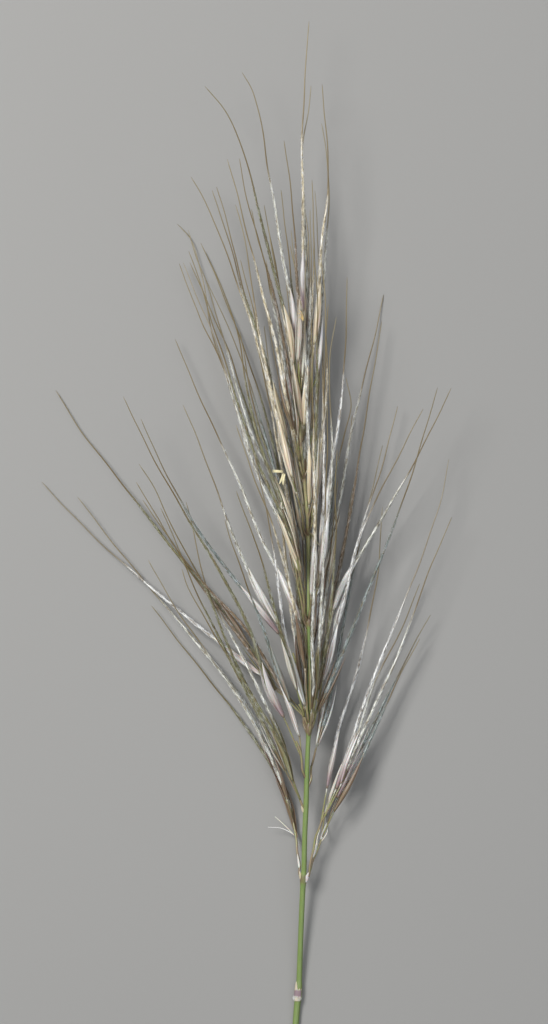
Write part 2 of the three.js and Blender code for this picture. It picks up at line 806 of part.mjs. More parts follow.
// Cuts away what reaches below the surface, which leaves a small flat spot there.
function restedFlat(manifold) {
  const below = new THREE.BoxGeometry(CUT_BOX.width, CUT_BOX.length, CUT_BOX.depth);
  below.translate(0, 0, -CUT_BOX.depth / 2);
  return manifold.subtract(solid(below));
}

// The stem, with its knots as swellings and one of its flat sides down.
function stem() {
  const points = STEM.map((ring) => placed([ring.column, ring.row], ring.height));
  const curve = new THREE.CatmullRomCurve3(points, false, "centripetal");
  const lengths = curve.getLengths((STEM.length - 1) * CURVE_DIVISIONS);
  const shareOf = (ring) => lengths[ring * CURVE_DIVISIONS] / lengths.at(-1);
  const stations = STEM.map(({ radius }, ring) => ({ share: shareOf(ring), radius }));
  const shaped = solid(rod(curve, stations, STEM_SIDES, Math.PI / STEM_SIDES));
  return meshOf("culm", restedFlat(shaped), STEM_FINISH);
}

// The centre line of a settled awn, from its spikelet's base to its tip.
function settledLine({ line, first }, unknowns) {
  const count = line.points.length - 1;
  return line.points.map((point, index) => {
    const weights = cubicWeights(index / count);
    const height = weights.reduce((sum, weight, k) => sum + weight * unknowns[first + k], 0);
    return new THREE.Vector3(point.x, point.y, height);
  });
}

// The outline of a spikelet's two glumes, along Y from 0 to 1: one foot and two pointed prongs.
function glumeOutline() {
  const right = [
    [GLUME.foot, 0],
    [GLUME.widest, GLUME_PLACES.widest],
    [GLUME.widest, 1],
    [GLUME.tipSlit, 1],
    [GLUME.slit, GLUME_PLACES.slit],
  ];
  const left = right.map(([across, along]) => [-across, along]).reverse();
  const points = [...right, [0, GLUME_PLACES.fork], ...left];
  return new THREE.Shape(points.map(([across, along]) => new THREE.Vector2(across, along)));
}

// The two glumes of a spikelet, gaping to both sides of the awn.
function glumes(curve, length, baseShare, roll) {
  const outline = glumeOutline();
  const geometry = new THREE.ExtrudeGeometry(outline, { depth: GLUME.thickness, bevelEnabled: false });
  geometry.translate(0, 0, -GLUME.thickness / 2);
  const shareOf = (along) => Math.min(1, baseShare + (along * GLUME.length - GLUME.sunk) / length);
  return solid(laidAlong(geometry, curve, shareOf, roll));
}

// One branch with its stalk, pedicels, spikelets and awns, fused.
function spray(laid, unknowns, random) {
  const { root, stalk, stalkEnd, spikelets } = laid;
  const last = stalk.points.length - 1;
  const stalkLine = stalk.points.map((point, index) => {
    const height = THREE.MathUtils.lerp(root.z, unknowns[stalkEnd], index / last);
    return new THREE.Vector3(point.x, point.y, height);
  });
  const stalkStations = Array.from({ length: STALK_STEPS + 1 }, (_, step) => {
    const share = step / STALK_STEPS;
    return { share, radius: THREE.MathUtils.lerp(STALK.root, STALK.end, share) };
  });
  const stalkCurve = new THREE.CatmullRomCurve3(stalkLine, false, "centripetal");
  let joined = solid(rod(stalkCurve, stalkStations, NEEDLE_SIDES));
  for (const spikelet of spikelets) {
    const line = settledLine(spikelet, unknowns);
    const from = stalkLine[spikelet.place];
    const curve = new THREE.CatmullRomCurve3([from, ...line], false, "centripetal");
    const length = curve.getLength();
    const baseShare = from.distanceTo(line[0]) / length;
    const columnShare = baseShare + (GLUME_PLACES.column * GLUME.length) / length;
    const stations = [
      { share: 0, radius: AWN.pedicel },
      { share: baseShare, radius: AWN.pedicel },
      { share: columnShare, radius: AWN.column },
    ];
    for (let step = 1; step <= AWN_STEPS; step += 1) {
      const along = step / AWN_STEPS;
      const radius = along < BRISTLE_FROM ? AWN.column : AWN.bristle;
      stations.push({ share: THREE.MathUtils.lerp(columnShare, 1, along), radius });
    }
    const roll = (Math.PI / 2) * (2 * random() - 1);
    joined = joined.add(solid(rod(curve, stations, NEEDLE_SIDES, roll + Math.PI / 2)));
    joined = joined.add(glumes(curve, length, baseShare, roll));
  }
  for (const pixels of laid.threads ?? []) {
    const from = stalkLine[Math.round(last * THREAD.share)];
    const points = pixels.map((pixel, index) => placed(pixel, from.z + index * THREAD.rise));
    const lastPixel = pixels.length - 1;
    const stations = pixels.map((_, index) => ({ share: index / lastPixel, radius: AWN.bristle }));
    const curve = new THREE.CatmullRomCurve3(points, false, "centripetal");
    joined = joined.add(solid(rod(curve, stations, NEEDLE_SIDES)));
  }
  if (laid.rests !== undefined) joined = restedFlat(joined);
  return meshOf(laid.name, joined, SPRAY_FINISH);
}

// The whole panicle.
function panicle() {
  const random = seeded(SEED);
  const unknowns = [];
  const laid = BRANCHES.map((branch) => layOut(branch, unknowns, random));
  settle(laid, unknowns);
  const group = new THREE.Group();
  group.add(stem());
  for (const branch of laid) group.add(spray(branch, unknowns, random));
  return group;
}

export default panicle();
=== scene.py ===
"""A cut flowering stem of half-bearded spear-grass, laid down: its fine pieces and their finishes.

The tables and the layout count in millimetres, as the solids do, and a mesh gets metres when it is
made. Pixels are those of the reference photograph, 548 across and 1024 down.
"""

import logging
import math
from dataclasses import dataclass
from enum import Enum

import bmesh
import bpy
import numpy as np
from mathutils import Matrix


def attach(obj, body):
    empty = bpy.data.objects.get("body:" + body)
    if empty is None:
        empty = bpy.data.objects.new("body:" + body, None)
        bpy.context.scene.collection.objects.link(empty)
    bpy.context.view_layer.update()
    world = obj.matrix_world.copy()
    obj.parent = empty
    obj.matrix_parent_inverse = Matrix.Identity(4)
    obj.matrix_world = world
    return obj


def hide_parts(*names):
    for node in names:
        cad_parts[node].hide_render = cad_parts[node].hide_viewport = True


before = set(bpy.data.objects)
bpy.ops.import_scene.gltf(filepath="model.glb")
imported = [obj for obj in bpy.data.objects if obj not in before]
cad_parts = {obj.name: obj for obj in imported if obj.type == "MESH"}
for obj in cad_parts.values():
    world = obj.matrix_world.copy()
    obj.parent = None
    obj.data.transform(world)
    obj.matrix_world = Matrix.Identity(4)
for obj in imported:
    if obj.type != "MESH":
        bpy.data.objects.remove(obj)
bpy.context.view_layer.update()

LOG = logging.getLogger("spear_grass")

Array = np.ndarray
Pixel = tuple[float, float]
Point = tuple[float, float, float]
Colour = tuple[float, float, float]
Lamp = tuple[str, Point, float, float, Colour]

MM = 0.001
MM_PER_PIXEL = 0.28

# The pixel that lies over the origin, and the middle of the photograph
ORIGIN = (246.5, 540.0)
PHOTO_SIZE = (548, 1024)


class Tint(Enum):
    """The colours that husks and awns come in, by the letter that stands for each in a table."""

    WHITE = "w"
    SILVER = "s"
    STRAW = "y"
    OLIVE = "o"
    BROWN = "b"
    TEAL = "t"
    MAUVE = "m"


@dataclass(frozen=True)
class Dye:
    """What one tint means on a husk, on the rod of an awn and on its hairs."""

    husk: Colour
    rod: Colour
    hair: Colour


DYES = {
    Tint.WHITE: Dye((0.82, 0.81, 0.81), (0.68, 0.69, 0.67), (0.86, 0.88, 0.91)),
    Tint.SILVER: Dye((0.50, 0.48, 0.42), (0.50, 0.51, 0.44), (0.80, 0.82, 0.79)),
    Tint.STRAW: Dye((0.64, 0.55, 0.39), (0.60, 0.53, 0.36), (0.90, 0.85, 0.69)),
    Tint.OLIVE: Dye((0.15, 0.15, 0.055), (0.13, 0.13, 0.05), (0.32, 0.32, 0.18)),
    Tint.BROWN: Dye((0.12, 0.08, 0.05), (0.15, 0.10, 0.055), (0.38, 0.30, 0.20)),
    Tint.TEAL: Dye((0.24, 0.28, 0.27), (0.13, 0.17, 0.16), (0.34, 0.42, 0.42)),
    Tint.MAUVE: Dye((0.60, 0.57, 0.58), (0.34, 0.29, 0.18), (0.72, 0.70, 0.68)),
}


@dataclass(frozen=True)
class Ring:
    """One ring of the stem: its pixel, the height of its axis over the surface and its radius."""

    column: float
    row: float
    height: float
    radius: float


@dataclass(frozen=True)
class Branch:
    """A primary branch. It leaves the stem at the row called root, on the side given by an angle.

    Side 0 is right, 90 is up, 180 is left and 270 is down. The stalk and the awns are pixels that
    their centre lines pass through, and an awn's start at its spikelet's base. The lean is how far
    the tips stand above the height where the branch leaves. The tints have two letters for each
    awn: the first for its husks and the second for the awn itself. Where the first is a capital,
    the broader husk lies on top and shows its back.
    """

    name: str
    root: float
    side: float
    lean: float
    tints: str
    stalk: tuple[Pixel, ...]
    awns: tuple[tuple[Pixel, ...], ...]
    rests: bool = False
    thread: tuple[Pixel, ...] = ()


# The stem from its cut end to its top
STEM = (
    Ring(293.4, 1058, 0.8, 0.88),
    Ring(295.6, 1028, 0.8, 0.88),
    Ring(297.4, 1006, 1.0, 0.9),
    Ring(298.3, 997, 1.2, 1.05),
    Ring(298.9, 989, 1.4, 1.0),
    Ring(299.3, 981, 1.65, 0.78),
    Ring(300.9, 935, 3.3, 0.75),
    Ring(302.9, 889, 5.1, 0.77),
    Ring(303.5, 880, 5.45, 0.98),
    Ring(303.9, 872, 5.75, 0.74),
    Ring(304.8, 835, 7.0, 0.72),
    Ring(306.0, 807, 7.9, 0.76),
    Ring(307.2, 765, 9.2, 0.66),
    Ring(308.4, 738, 9.95, 0.62),
    Ring(308.9, 729, 10.15, 0.98),
    Ring(309.1, 718, 10.4, 0.6),
    Ring(309.3, 675, 11.3, 0.46),
    Ring(308.8, 631, 12.0, 0.48),
    Ring(308.6, 622, 12.1, 0.82),
    Ring(308.6, 612, 12.2, 0.46),
    Ring(308.4, 570, 12.5, 0.42),
    Ring(308.0, 531, 12.7, 0.62),
    Ring(307.5, 521, 12.8, 0.4),
    Ring(304.2, 478, 12.9, 0.52),
    Ring(303.0, 468, 12.9, 0.36),
    Ring(300.6, 440, 13.0, 0.48),
    Ring(300.0, 400, 13.1, 0.36),
    Ring(300.0, 352, 13.2, 0.34),
)
# The primary branches, from the lowest knot up
BRANCHES = (
    Branch("spray_01_base_right", 881, 20, 4, "mw Mw ms",
        stalk=((310, 866), (314, 848), (315.5, 838), (320, 827), (324, 812)),
        awns=(
            ((327, 790), (332, 762), (340, 725), (355, 680), (368, 627), (378, 572), (382.5, 507)),
            ((336, 790), (347, 757), (358, 722), (373, 680), (392, 632), (419, 565), (441, 500),
             (449, 459)),
            ((341, 785), (355, 750), (372, 712), (400, 650), (425, 582), (440, 545), (452, 517)),
        ),
    ),
    Branch("spray_02_base_right_outer", 877, 340, -1.5, "ss mt bt",
        stalk=((312, 864), (318, 850), (322, 838), (326, 826)),
        awns=(
            ((325, 817), (341, 775), (358, 735), (375, 682), (397, 640), (413, 602), (420, 584)),
            ((337, 799), (352, 768), (380, 712), (400, 672), (424, 627), (431, 615)),
            ((334, 812), (350, 783), (372, 737), (398, 680), (413, 652), (420, 639)),
        ),
    ),
    Branch("spray_03_base_left", 879, 185, -1, "bo bs ss",
        stalk=((300, 868), (297.3, 853), (296.4, 840), (293, 822), (288, 800)),
        awns=(
            ((296, 834), (288, 803), (272, 768), (240, 720), (208, 679), (183, 648), (162, 620),
             (151, 606)),
            ((287, 800), (275, 767), (247, 712), (212, 660), (180, 615), (155, 573), (148, 560)),
            ((279, 780), (262, 735), (240, 697), (198, 645), (160, 600), (118, 550), (77, 497)),
        ),
        thread=((297, 838), (290, 833), (281, 829), (268, 828)),
    ),
    Branch("spray_04_lower_left", 808, 170, 5, "oo os so mo",
        stalk=((300, 799), (295, 788)),
        awns=(
            ((293, 781), (284, 752), (262, 712), (240, 675), (213, 632), (188, 587), (182, 569)),
            ((290, 770), (279, 735), (262, 697), (240, 652), (212, 600), (200, 565), (193, 528),
             (186, 502)),
            ((286, 772), (272, 743), (254, 702), (230, 650), (203, 583), (175, 533), (155, 489),
             (139, 464)),
            ((283, 757), (262, 722), (236, 672), (210, 620), (190, 578), (173, 535), (160.5, 508)),
        ),
    ),
    Branch("spray_05_lower_left_inner", 776, 150, 12, "Mo wb",
        stalk=((302, 764), (300, 750), (296, 741)),
        awns=(
            ((284, 718), (268, 688), (250, 630), (222, 575), (190, 522), (153, 457), (137, 425),
             (124, 397)),
            ((299.5, 737), (289, 705), (270, 668), (245, 628), (210, 590), (183, 558),
             (153, 510), (136.5, 482)),
        ),
    ),
    Branch("spray_06_knot_left_low", 731, 205, -7, "Ww bo ob",
        stalk=((303, 716), (294, 703), (283, 693)),
        awns=(
            ((262, 676), (226, 648), (190, 620), (142, 580), (100, 543), (62, 505), (41, 482)),
            ((250, 648), (225, 612), (187, 567), (150, 520), (115, 475), (82, 433), (55, 390)),
            ((276, 690), (256, 660), (228, 622), (195, 578), (168, 537), (150, 511), (142.5, 500)),
        ),
    ),
    Branch("spray_07_knot_left", 727, 165, 3, "Mt Ws",
        stalk=((304, 703), (300, 675), (293, 653)),
        awns=(
            ((279, 634), (260, 610), (225, 567), (195, 525), (168, 477), (150, 440), (141, 419)),
            ((277, 624), (254, 583), (233, 535), (213, 480), (198, 440), (183, 405)),
        ),
    ),
    Branch("spray_08_knot_left_front", 725, 130, 13, "tt so",
        stalk=((304, 714), (299, 704)),
        awns=(
            ((290, 702), (277, 670), (262, 625), (247, 585), (231, 540), (225, 520)),
            ((297, 690), (286, 650), (270, 592), (258, 548), (243, 510), (236.5, 491)),
        ),
    ),
    Branch("spray_09_white_left", 721, 100, 8, "Ww by",
        stalk=((307.5, 713), (305, 700)),
        awns=(
            ((305, 706), (297, 680), (290, 655), (284, 630), (279, 590), (273, 545), (262, 490),
             (254, 452)),
            ((305, 668), (299, 630), (289, 585), (276, 535), (255, 480), (236, 425)),
        ),
    ),
    Branch("spray_10_lower_right", 785, 10, -5, "wt sw",
        stalk=((311, 770), (313.5, 760), (316, 749)),
        awns=(
            ((317, 746), (328, 708), (336, 665), (348, 600), (360, 540), (371, 495), (383, 445)),
            ((318, 741), (325, 700), (330, 660), (337, 600), (345, 545), (351, 500), (357, 470)),
        ),
    ),
    Branch("spray_11_knot_right", 729, 25, 9, "bt Ww Ws",
        stalk=((314, 722), (318, 705), (321, 690)),
        awns=(
            ((317, 712), (328, 688), (350, 635), (368, 590), (388, 540), (404, 497), (419, 450),
             (437, 388)),
            ((322.5, 682), (333, 640), (346, 592), (357, 545), (370, 512), (393, 467),
             (410, 433), (423, 409)),
            ((333, 611), (345, 580), (361, 553), (388, 508), (410, 470), (432, 428), (451, 388)),
        ),
    ),
    Branch("spray_12_knot_right_back", 724, 335, -6, "Ww sb",
        stalk=((314, 705), (318, 680), (322, 655)),
        awns=(
            ((333, 636), (343, 600), (353, 560), (366, 515), (379, 477), (392, 430), (398, 406)),
            ((325, 640), (331, 605), (340, 565), (350, 515), (363, 435), (373, 375), (382, 321)),
        ),
    ),
    Branch("spray_13_knot_front", 733, 75, 15, "os os bo",
        stalk=((311, 722), (313, 708)),
        awns=(
            ((311, 712), (313, 680), (312, 640), (314, 590), (316, 530), (318, 470), (320, 430)),
            ((315, 700), (318, 665), (320, 625), (323, 570), (325, 510), (327, 450), (327, 405)),
            ((318, 690), (324, 655), (330, 615), (334, 565), (336, 520), (335, 485), (337, 450)),
        ),
    ),
    Branch("spray_14_knot_back", 728, 265, -7, "sb Wy",
        stalk=((307, 715), (305, 700)),
        awns=(
            ((306, 697), (302, 665), (299, 630), (297, 580), (296, 520), (294, 470), (290, 425)),
            ((303, 692), (297, 650), (291, 610), (286, 565), (281, 520), (277, 470), (270, 430)),
        ),
    ),
    Branch("spray_15_long_left", 656, 160, -7, "Ws",
        stalk=((306, 644), (303, 628)),
        awns=(
            ((301, 622), (283, 580), (262, 540), (238, 480), (210, 420), (190, 375), (175, 339)),
        ),
    ),
    Branch("spray_16_middle_left", 626, 190, -10, "Ys yw Ys so bt",
        stalk=((302, 605), (298, 585), (295, 562)),
        awns=(
            ((292, 545), (275, 505), (248, 450), (232, 390), (215, 345), (200, 268), (191, 239),
             (177, 223)),
            ((294, 552), (279, 515), (251, 455), (235, 400), (214, 337), (197, 297), (187, 272),
             (183, 262)),
            ((299, 572), (286, 535), (256, 470), (237, 410), (216, 350), (202, 323), (189, 290),
             (179, 263)),
            ((297, 548), (283, 500), (270, 457), (260, 431), (253.5, 405), (246, 367), (240, 331)),
            ((298, 563), (286, 515), (272, 460), (253.5, 396), (238, 350), (224, 318),
             (215, 298), (203, 274)),
        ), rests=True,
    ),
    Branch("spray_17_middle_left_front", 619, 140, 8, "Ys yo yo Yo",
        stalk=((304, 600), (300, 578), (297, 560)),
        awns=(
            ((293, 535), (278, 490), (254, 440), (238, 390), (221, 330), (206, 282), (196, 256),
             (188.5, 231)),
            ((296, 548), (283, 505), (262, 450), (249, 400), (239, 340), (228, 303), (212, 267),
             (201, 244)),
            ((298, 560), (284, 520), (259, 465), (240, 410), (223, 355), (209, 313), (197, 273),
             (189, 252)),
            ((300, 568), (286, 522), (265, 460), (246, 405), (230, 355), (216, 322), (203, 292),
             (190, 263)),
        ),
    ),
    Branch("spray_18_middle_right", 624, 350, -10, "ss st yb",
        stalk=((313, 605), (317, 590)),
        awns=(
            ((322, 575), (330, 540), (340, 500), (350, 440), (360, 395), (374, 340), (384, 294)),
            ((319, 585), (325, 550), (330, 515), (336, 470), (346, 430), (351, 405), (346, 377)),
            ((325, 597), (331, 560), (337, 520), (343, 482), (348, 450), (351, 430), (352.5, 414)),
        ), rests=True,
    ),
    Branch("spray_19_middle_front", 617, 80, 14, "Wy yw Ws",
        stalk=((311, 605), (314, 590)),
        awns=(
            ((311, 596), (314, 560), (315, 520), (314, 470), (313, 420), (312, 360), (311, 320)),
            ((317, 588), (320, 555), (323, 520), (324, 470), (324, 410), (325, 350), (328, 305)),
            ((320, 575), (325, 540), (329, 505), (332, 460), (331, 420), (329, 365), (336, 318)),
        ),
    ),
    Branch("spray_20_middle_back", 629, 255, -8, "bs yy so",
        stalk=((306, 615), (303, 600)),
        awns=(
            ((304, 592), (300, 560), (298, 525), (300, 470), (301, 410), (301, 350), (300, 300)),
            ((300, 588), (293, 550), (287, 510), (282, 470), (277, 420), (270, 370), (264, 325)),
            ((305, 592), (297, 550), (279, 470), (266, 416), (247, 356), (230.5, 313),
             (218, 281), (204, 249)),
        ),
    ),
    Branch("spray_21_upper_left", 535, 175, 2, "Yy Yy yy",
        stalk=((302, 515), (298, 498), (294, 482)),
        awns=(
            ((290, 470), (282, 435), (272, 400), (252, 325), (236, 280), (217, 228), (200, 192),
             (191, 177)),
            ((292, 478), (283, 440), (270, 385), (256, 315), (248, 258), (240, 220), (235.5, 205)),
            ((297, 495), (287, 458), (272, 400), (258, 330), (248, 290), (240.5, 260)),
        ),
    ),
    Branch("spray_22_upper_right", 529, 10, 4, "Ww sy",
        stalk=((312, 515), (316, 500)),
        awns=(
            ((320, 545), (325, 510), (330, 475), (339, 420), (344, 370), (346.5, 310), (347, 277)),
            ((315, 505), (319, 470), (323, 430), (327, 385), (326, 340), (325, 300), (321.5, 262)),
        ),
    ),
    Branch("spray_23_upper_front", 533, 90, 11, "Ys so",
        stalk=((308, 520), (308, 508)),
        awns=(
            ((309, 505), (309, 470), (308, 430), (306, 380), (305, 330), (305, 285), (308, 240)),
            ((313, 500), (315, 465), (316, 430), (317, 380), (317, 330), (317, 290), (313, 250)),
        ),
    ),
    Branch("spray_24_upper_back", 527, 270, -8, "yy Yy",
        stalk=((307, 512), (305, 500)),
        awns=(
            ((304, 496), (300, 460), (297, 425), (294, 385), (291, 340), (288, 300), (285, 262)),
            ((308, 492), (311, 455), (312, 410), (310, 360), (309, 320), (312, 275)),
        ),
    ),
    Branch("spray_25_high_left", 481, 190, -3, "Yo Ws",
        stalk=((299, 468), (294, 455)),
        awns=(
            ((287, 440), (277, 405), (263, 350), (242, 285), (234, 250), (226, 218), (216.5, 187)),
            ((291, 448), (280, 410), (262, 345), (245, 300), (233, 255), (223, 222), (212, 190)),
        ),
    ),
    Branch("spray_26_high_front", 476, 110, 10, "by ys",
        stalk=((300, 464), (296, 448)),
        awns=(
            ((293, 430), (286, 400), (276, 345), (264, 300), (256, 268), (242, 215), (236, 190),
             (227.5, 161)),
            ((297, 438), (291, 405), (282, 350), (272, 300), (265, 265), (258, 240), (251.5, 210)),
        ),
    ),
    Branch("spray_27_high_right", 474, 0, -4, "yw Ws",
        stalk=((308, 460), (310, 445)),
        awns=(
            ((312, 430), (315, 395), (318, 340), (319, 290), (318, 240), (315, 190)),
            ((307, 440), (308, 405), (309, 355), (308, 300), (309, 245), (304, 203)),
        ),
    ),
    Branch("spray_28_crown_left", 443, 165, 3, "Ms Yo mb",
        stalk=((297, 430), (295, 415), (294, 400)),
        awns=(
            ((295, 350), (292, 305), (283, 260), (275, 208), (267, 163), (260, 117), (252, 90),
             (242, 73)),
            ((293, 365), (289, 330), (276, 280), (261, 220), (252, 183), (240, 142), (224, 110),
             (205, 87)),
            ((293, 395), (287, 360), (275, 300), (260, 245), (250, 212), (243, 180), (239.5, 159)),
        ),
    ),
    Branch("spray_29_crown_right", 439, 15, 3, "Yy ws",
        stalk=((305, 425), (309, 405), (311, 380)),
        awns=(
            ((314, 345), (318, 300), (322, 240), (328, 190), (328, 160), (324, 110), (322, 85)),
            ((317, 375), (319, 330), (323, 285), (327, 230), (329, 185), (325, 145), (321.5, 124)),
        ),
    ),
    Branch("spray_30_crown_top", 362, 60, 0, "My ss",
        stalk=((301, 338), (302.5, 325)),
        awns=(
            ((303, 312), (303, 260), (303, 200), (302, 130), (304.5, 95), (306, 58), (309, 22)),
            ((305, 333), (307, 290), (305, 235), (303, 175), (303, 140), (309, 108), (311, 86)),
        ),
    ),
    Branch("spray_31_crown_front", 402, 85, 6, "sb sy",
        stalk=((300, 388), (299, 374)),
        awns=(
            ((298, 362), (299, 322), (297, 280), (294, 225), (290, 185), (284, 142)),
            ((302, 378), (303, 340), (301, 305), (296, 275), (290, 246)),
        ),
    ),
)


@dataclass(frozen=True)
class Inner:
    """A spikelet deep in the head: its branch, its two tints, its rise over the stem and its route."""

    branch: str
    tints: str
    rise: float
    route: tuple[Pixel, ...]


# The spikelets that fill the middle of the head, from the lowest up
INNERS = (
    Inner("spray_09_white_left", "bs", -1.2,
          ((303, 690), (299, 655), (294, 620), (289, 580), (284, 535), (278, 490))),
    Inner("spray_11_knot_right", "os", -1.4,
          ((314, 690), (319, 650), (324, 612), (329, 570), (333, 525), (338, 480))),
    Inner("spray_14_knot_back", "yo", -0.9,
          ((306, 655), (302, 620), (297, 585), (293, 545), (290, 500), (285, 440))),
    Inner("spray_13_knot_front", "bw", -0.8,
          ((312, 650), (316, 615), (319, 580), (321, 540), (322, 495), (325, 430))),
    Inner("spray_17_middle_left_front", "yy", -1.5,
          ((300, 562), (292, 522), (284, 478), (275, 432), (266, 385), (252, 325))),
    Inner("spray_19_middle_front", "ys", -1.3,
          ((310, 562), (313, 522), (315, 480), (317, 430), (319, 375), (321, 320))),
    Inner("spray_20_middle_back", "yw", -1.0,
          ((304, 540), (298, 500), (290, 455), (283, 408), (275, 358), (262, 290))),
    Inner("spray_22_upper_right", "wy", -1.4,
          ((312, 540), (317, 502), (321, 462), (323, 415), (323, 365), (320, 300))),
    Inner("spray_24_upper_back", "yy", -1.0,
          ((304, 506), (298, 466), (291, 425), (285, 380), (277, 325), (266, 260))),
    Inner("spray_23_upper_front", "ys", -0.6,
          ((305, 476), (304, 436), (302, 396), (300, 345), (297, 290), (291, 230))),
    Inner("spray_26_high_front", "yw", -1.0,
          ((301, 440), (297, 402), (291, 360), (284, 312), (275, 262), (264, 205))),
    Inner("spray_31_crown_front", "yo", -0.8,
          ((303, 418), (301, 380), (298, 342), (293, 297), (288, 250), (281, 190))),
    Inner("spray_26_high_front", "Yy", 2.2,
          ((302, 424), (297, 395), (291, 360), (285, 325), (277, 280), (268, 225))),
    Inner("spray_29_crown_right", "Ys", 2.0,
          ((304, 426), (306, 392), (308, 350), (310, 310), (311, 262), (310, 210))),
    Inner("spray_29_crown_right", "yy", -0.9,
          ((306, 412), (309, 374), (311, 334), (313, 288), (314, 240), (312, 180))),
)


class Seeded:
    """A small generator of even numbers from 0 to 1, the same on every run."""

    FACTOR = 1664525
    STEP = 1013904223
    RANGE = 2**32

    def __init__(self, seed: int) -> None:
        """Starts the row of numbers that belongs to a seed."""
        self.state = seed

    def __call__(self) -> float:
        """The next number."""
        self.state = (self.state * self.FACTOR + self.STEP) % self.RANGE
        return self.state / self.RANGE

    def signed(self) -> float:
        """The next number, brought between -1 and 1."""
        return 2 * self() - 1

    def spread(self, base: float, play: float) -> float:
        """A number from a base up to the base and its play."""
        return base + play * self()


def nearest(value: float) -> int:
    """The nearest whole number, where a half goes up."""
    return math.floor(value + 0.5)


def placed(pixels: tuple[Pixel, ...], height: float = 0.0) -> Array:
    """Turns pixels into points over the surface.

    Args:
        pixels: Columns and rows of the photograph.
        height: The height of all the points, in millimetres.

    Returns:
        One row of x, y and z in millimetres for each pixel.
    """
    flat = (np.array(pixels, dtype=float) - ORIGIN) * (MM_PER_PIXEL, -MM_PER_PIXEL)
    return np.column_stack([flat, np.full(len(flat), height)])


class Curve:
    """A smooth centripetal curve through points, measured along its length."""

    DIVISIONS = 200
    NUDGE = 1e-4

    def __init__(self, points: Array) -> None:
        """Lays the curve.

        Args:
            points: What it passes through, one row each.
        """
        ends = (2 * points[0] - points[1], 2 * points[-1] - points[-2])
        self.knots = np.vstack([ends[0], points, ends[1]])
        self.marks = np.linspace(0, 1, self.DIVISIONS + 1)
        spans = np.linalg.norm(np.diff(self.at(self.marks), axis=0), axis=1)
        self.lengths = np.concatenate([[0], np.cumsum(spans)])
        self.length = float(self.lengths[-1])

    def at(self, t: Array) -> Array:
        """The points at values of the curve's own parameter, which isn't even in length.

        Args:
            t: Values from 0 to 1.

        Returns:
            One row of x, y and z for each value.
        """
        last = len(self.knots) - 3
        place = np.clip(t, 0, 1) * last
        index = np.minimum(place.astype(int), last - 1)
        w = (place - index)[:, None]
        a, b, c, d = (self.knots[index + step] for step in range(4))
        first, mid, final = (
            np.sqrt(np.linalg.norm(q - p, axis=1))[:, None] for p, q in ((a, b), (b, c), (c, d))
        )
        mid = np.where(mid < self.NUDGE, 1, mid)
        first = np.where(first < self.NUDGE, mid, first)
        final = np.where(final < self.NUDGE, mid, final)
        leave = ((b - a) / first - (c - a) / (first + mid) + (c - b) / mid) * mid
        arrive = ((c - b) / mid - (d - b) / (mid + final) + (d - c) / final) * mid
        square = -3 * b + 3 * c - 2 * leave - arrive
        cube = 2 * b - 2 * c + leave + arrive
        return b + leave * w + square * w**2 + cube * w**3

    def parameter(self, share: Array) -> Array:
        """The parameter values at shares of the length."""
        return np.interp(np.clip(share, 0, 1) * self.length, self.lengths, self.marks)

    def point(self, share: Array) -> Array:
        """The points at shares of the length."""
        return self.at(self.parameter(share))

    def frames(self, share: Array) -> tuple[Array, Array, Array, Array]:
        """The places and directions at shares of the length.

        Args:
            share: Shares of the length, from 0 to 1.

        Returns:
            The points, the directions along the curve, to its side and over it.
        """
        t = self.parameter(share)
        low, high = np.clip(t - self.NUDGE, 0, 1), np.clip(t + self.NUDGE, 0, 1)
        along = self.at(high) - self.at(low)
        along /= np.linalg.norm(along, axis=1)[:, None]
        side = np.cross(along, (0, 0, 1))
        side /= np.linalg.norm(side, axis=1)[:, None]
        return self.at(t), along, side, np.cross(side, along)

    def spaced(self, spacing: float) -> Array:
        """Evenly spaced points along the curve, about a spacing apart."""
        count = max(2, nearest(self.length / spacing))
        return self.point(np.arange(count + 1) / count)


def stem_curve() -> Curve:
    """The centre line of the stem."""
    return Curve(np.array([placed(((ring.column, ring.row),), ring.height)[0] for ring in STEM]))


@dataclass
class Spikelet:
    """One spikelet while its heights are settled, and then with its settled centre line."""

    line: Array
    length: float
    leaves_at: int
    first: int
    pedicel: float
    share: float
    curve: Curve | None = None
    base_share: float = 0.0
    roll: float = 0.0
    husk: Tint = Tint.STRAW
    awn: Tint = Tint.STRAW
    back_up: bool = False


@dataclass
class LaidBranch:
    """One branch as laid out over the surface."""

    branch: Branch
    anchor: Array
    root: Array
    stalk: Array
    stalk_length: float
    stalk_end: int
    spikelets: list[Spikelet]


@dataclass(frozen=True)
class Clearance:
    """The radii kept clear round the samples of a branch, in millimetres, and the gaps between."""

    stalk: float = 0.4
    column: float = 0.42
    base: float = 0.75
    body: float = 1.3
    widest_from: float = 0.45
    end: float = 1.05
    seat: float = 0.3
    between: float = 0.4
    floor: float = 0.25
    ceiling: float = 33.0

    def round_spikelet(self, distance: Array, husk_length: float) -> Array:
        """The radius kept clear at distances from a spikelet's base.

        Args:
            distance: Distances in millimetres.
            husk_length: The length of the spikelet's husks.

        Returns:
            One radius for each distance.
        """
        share = distance / husk_length
        swell = self.base + (self.body - self.base) * np.minimum(1, share / self.widest_from)
        return np.where(share >= self.end, self.column, swell)


@dataclass(frozen=True)
class Sample:
    """A point of a strand, the radius kept clear round it and the terms that make its height."""

    place: Array
    radius: float
    fixed: float
    terms: dict[int, float]
    strand: int
    owner: int
    on_awn: bool = False


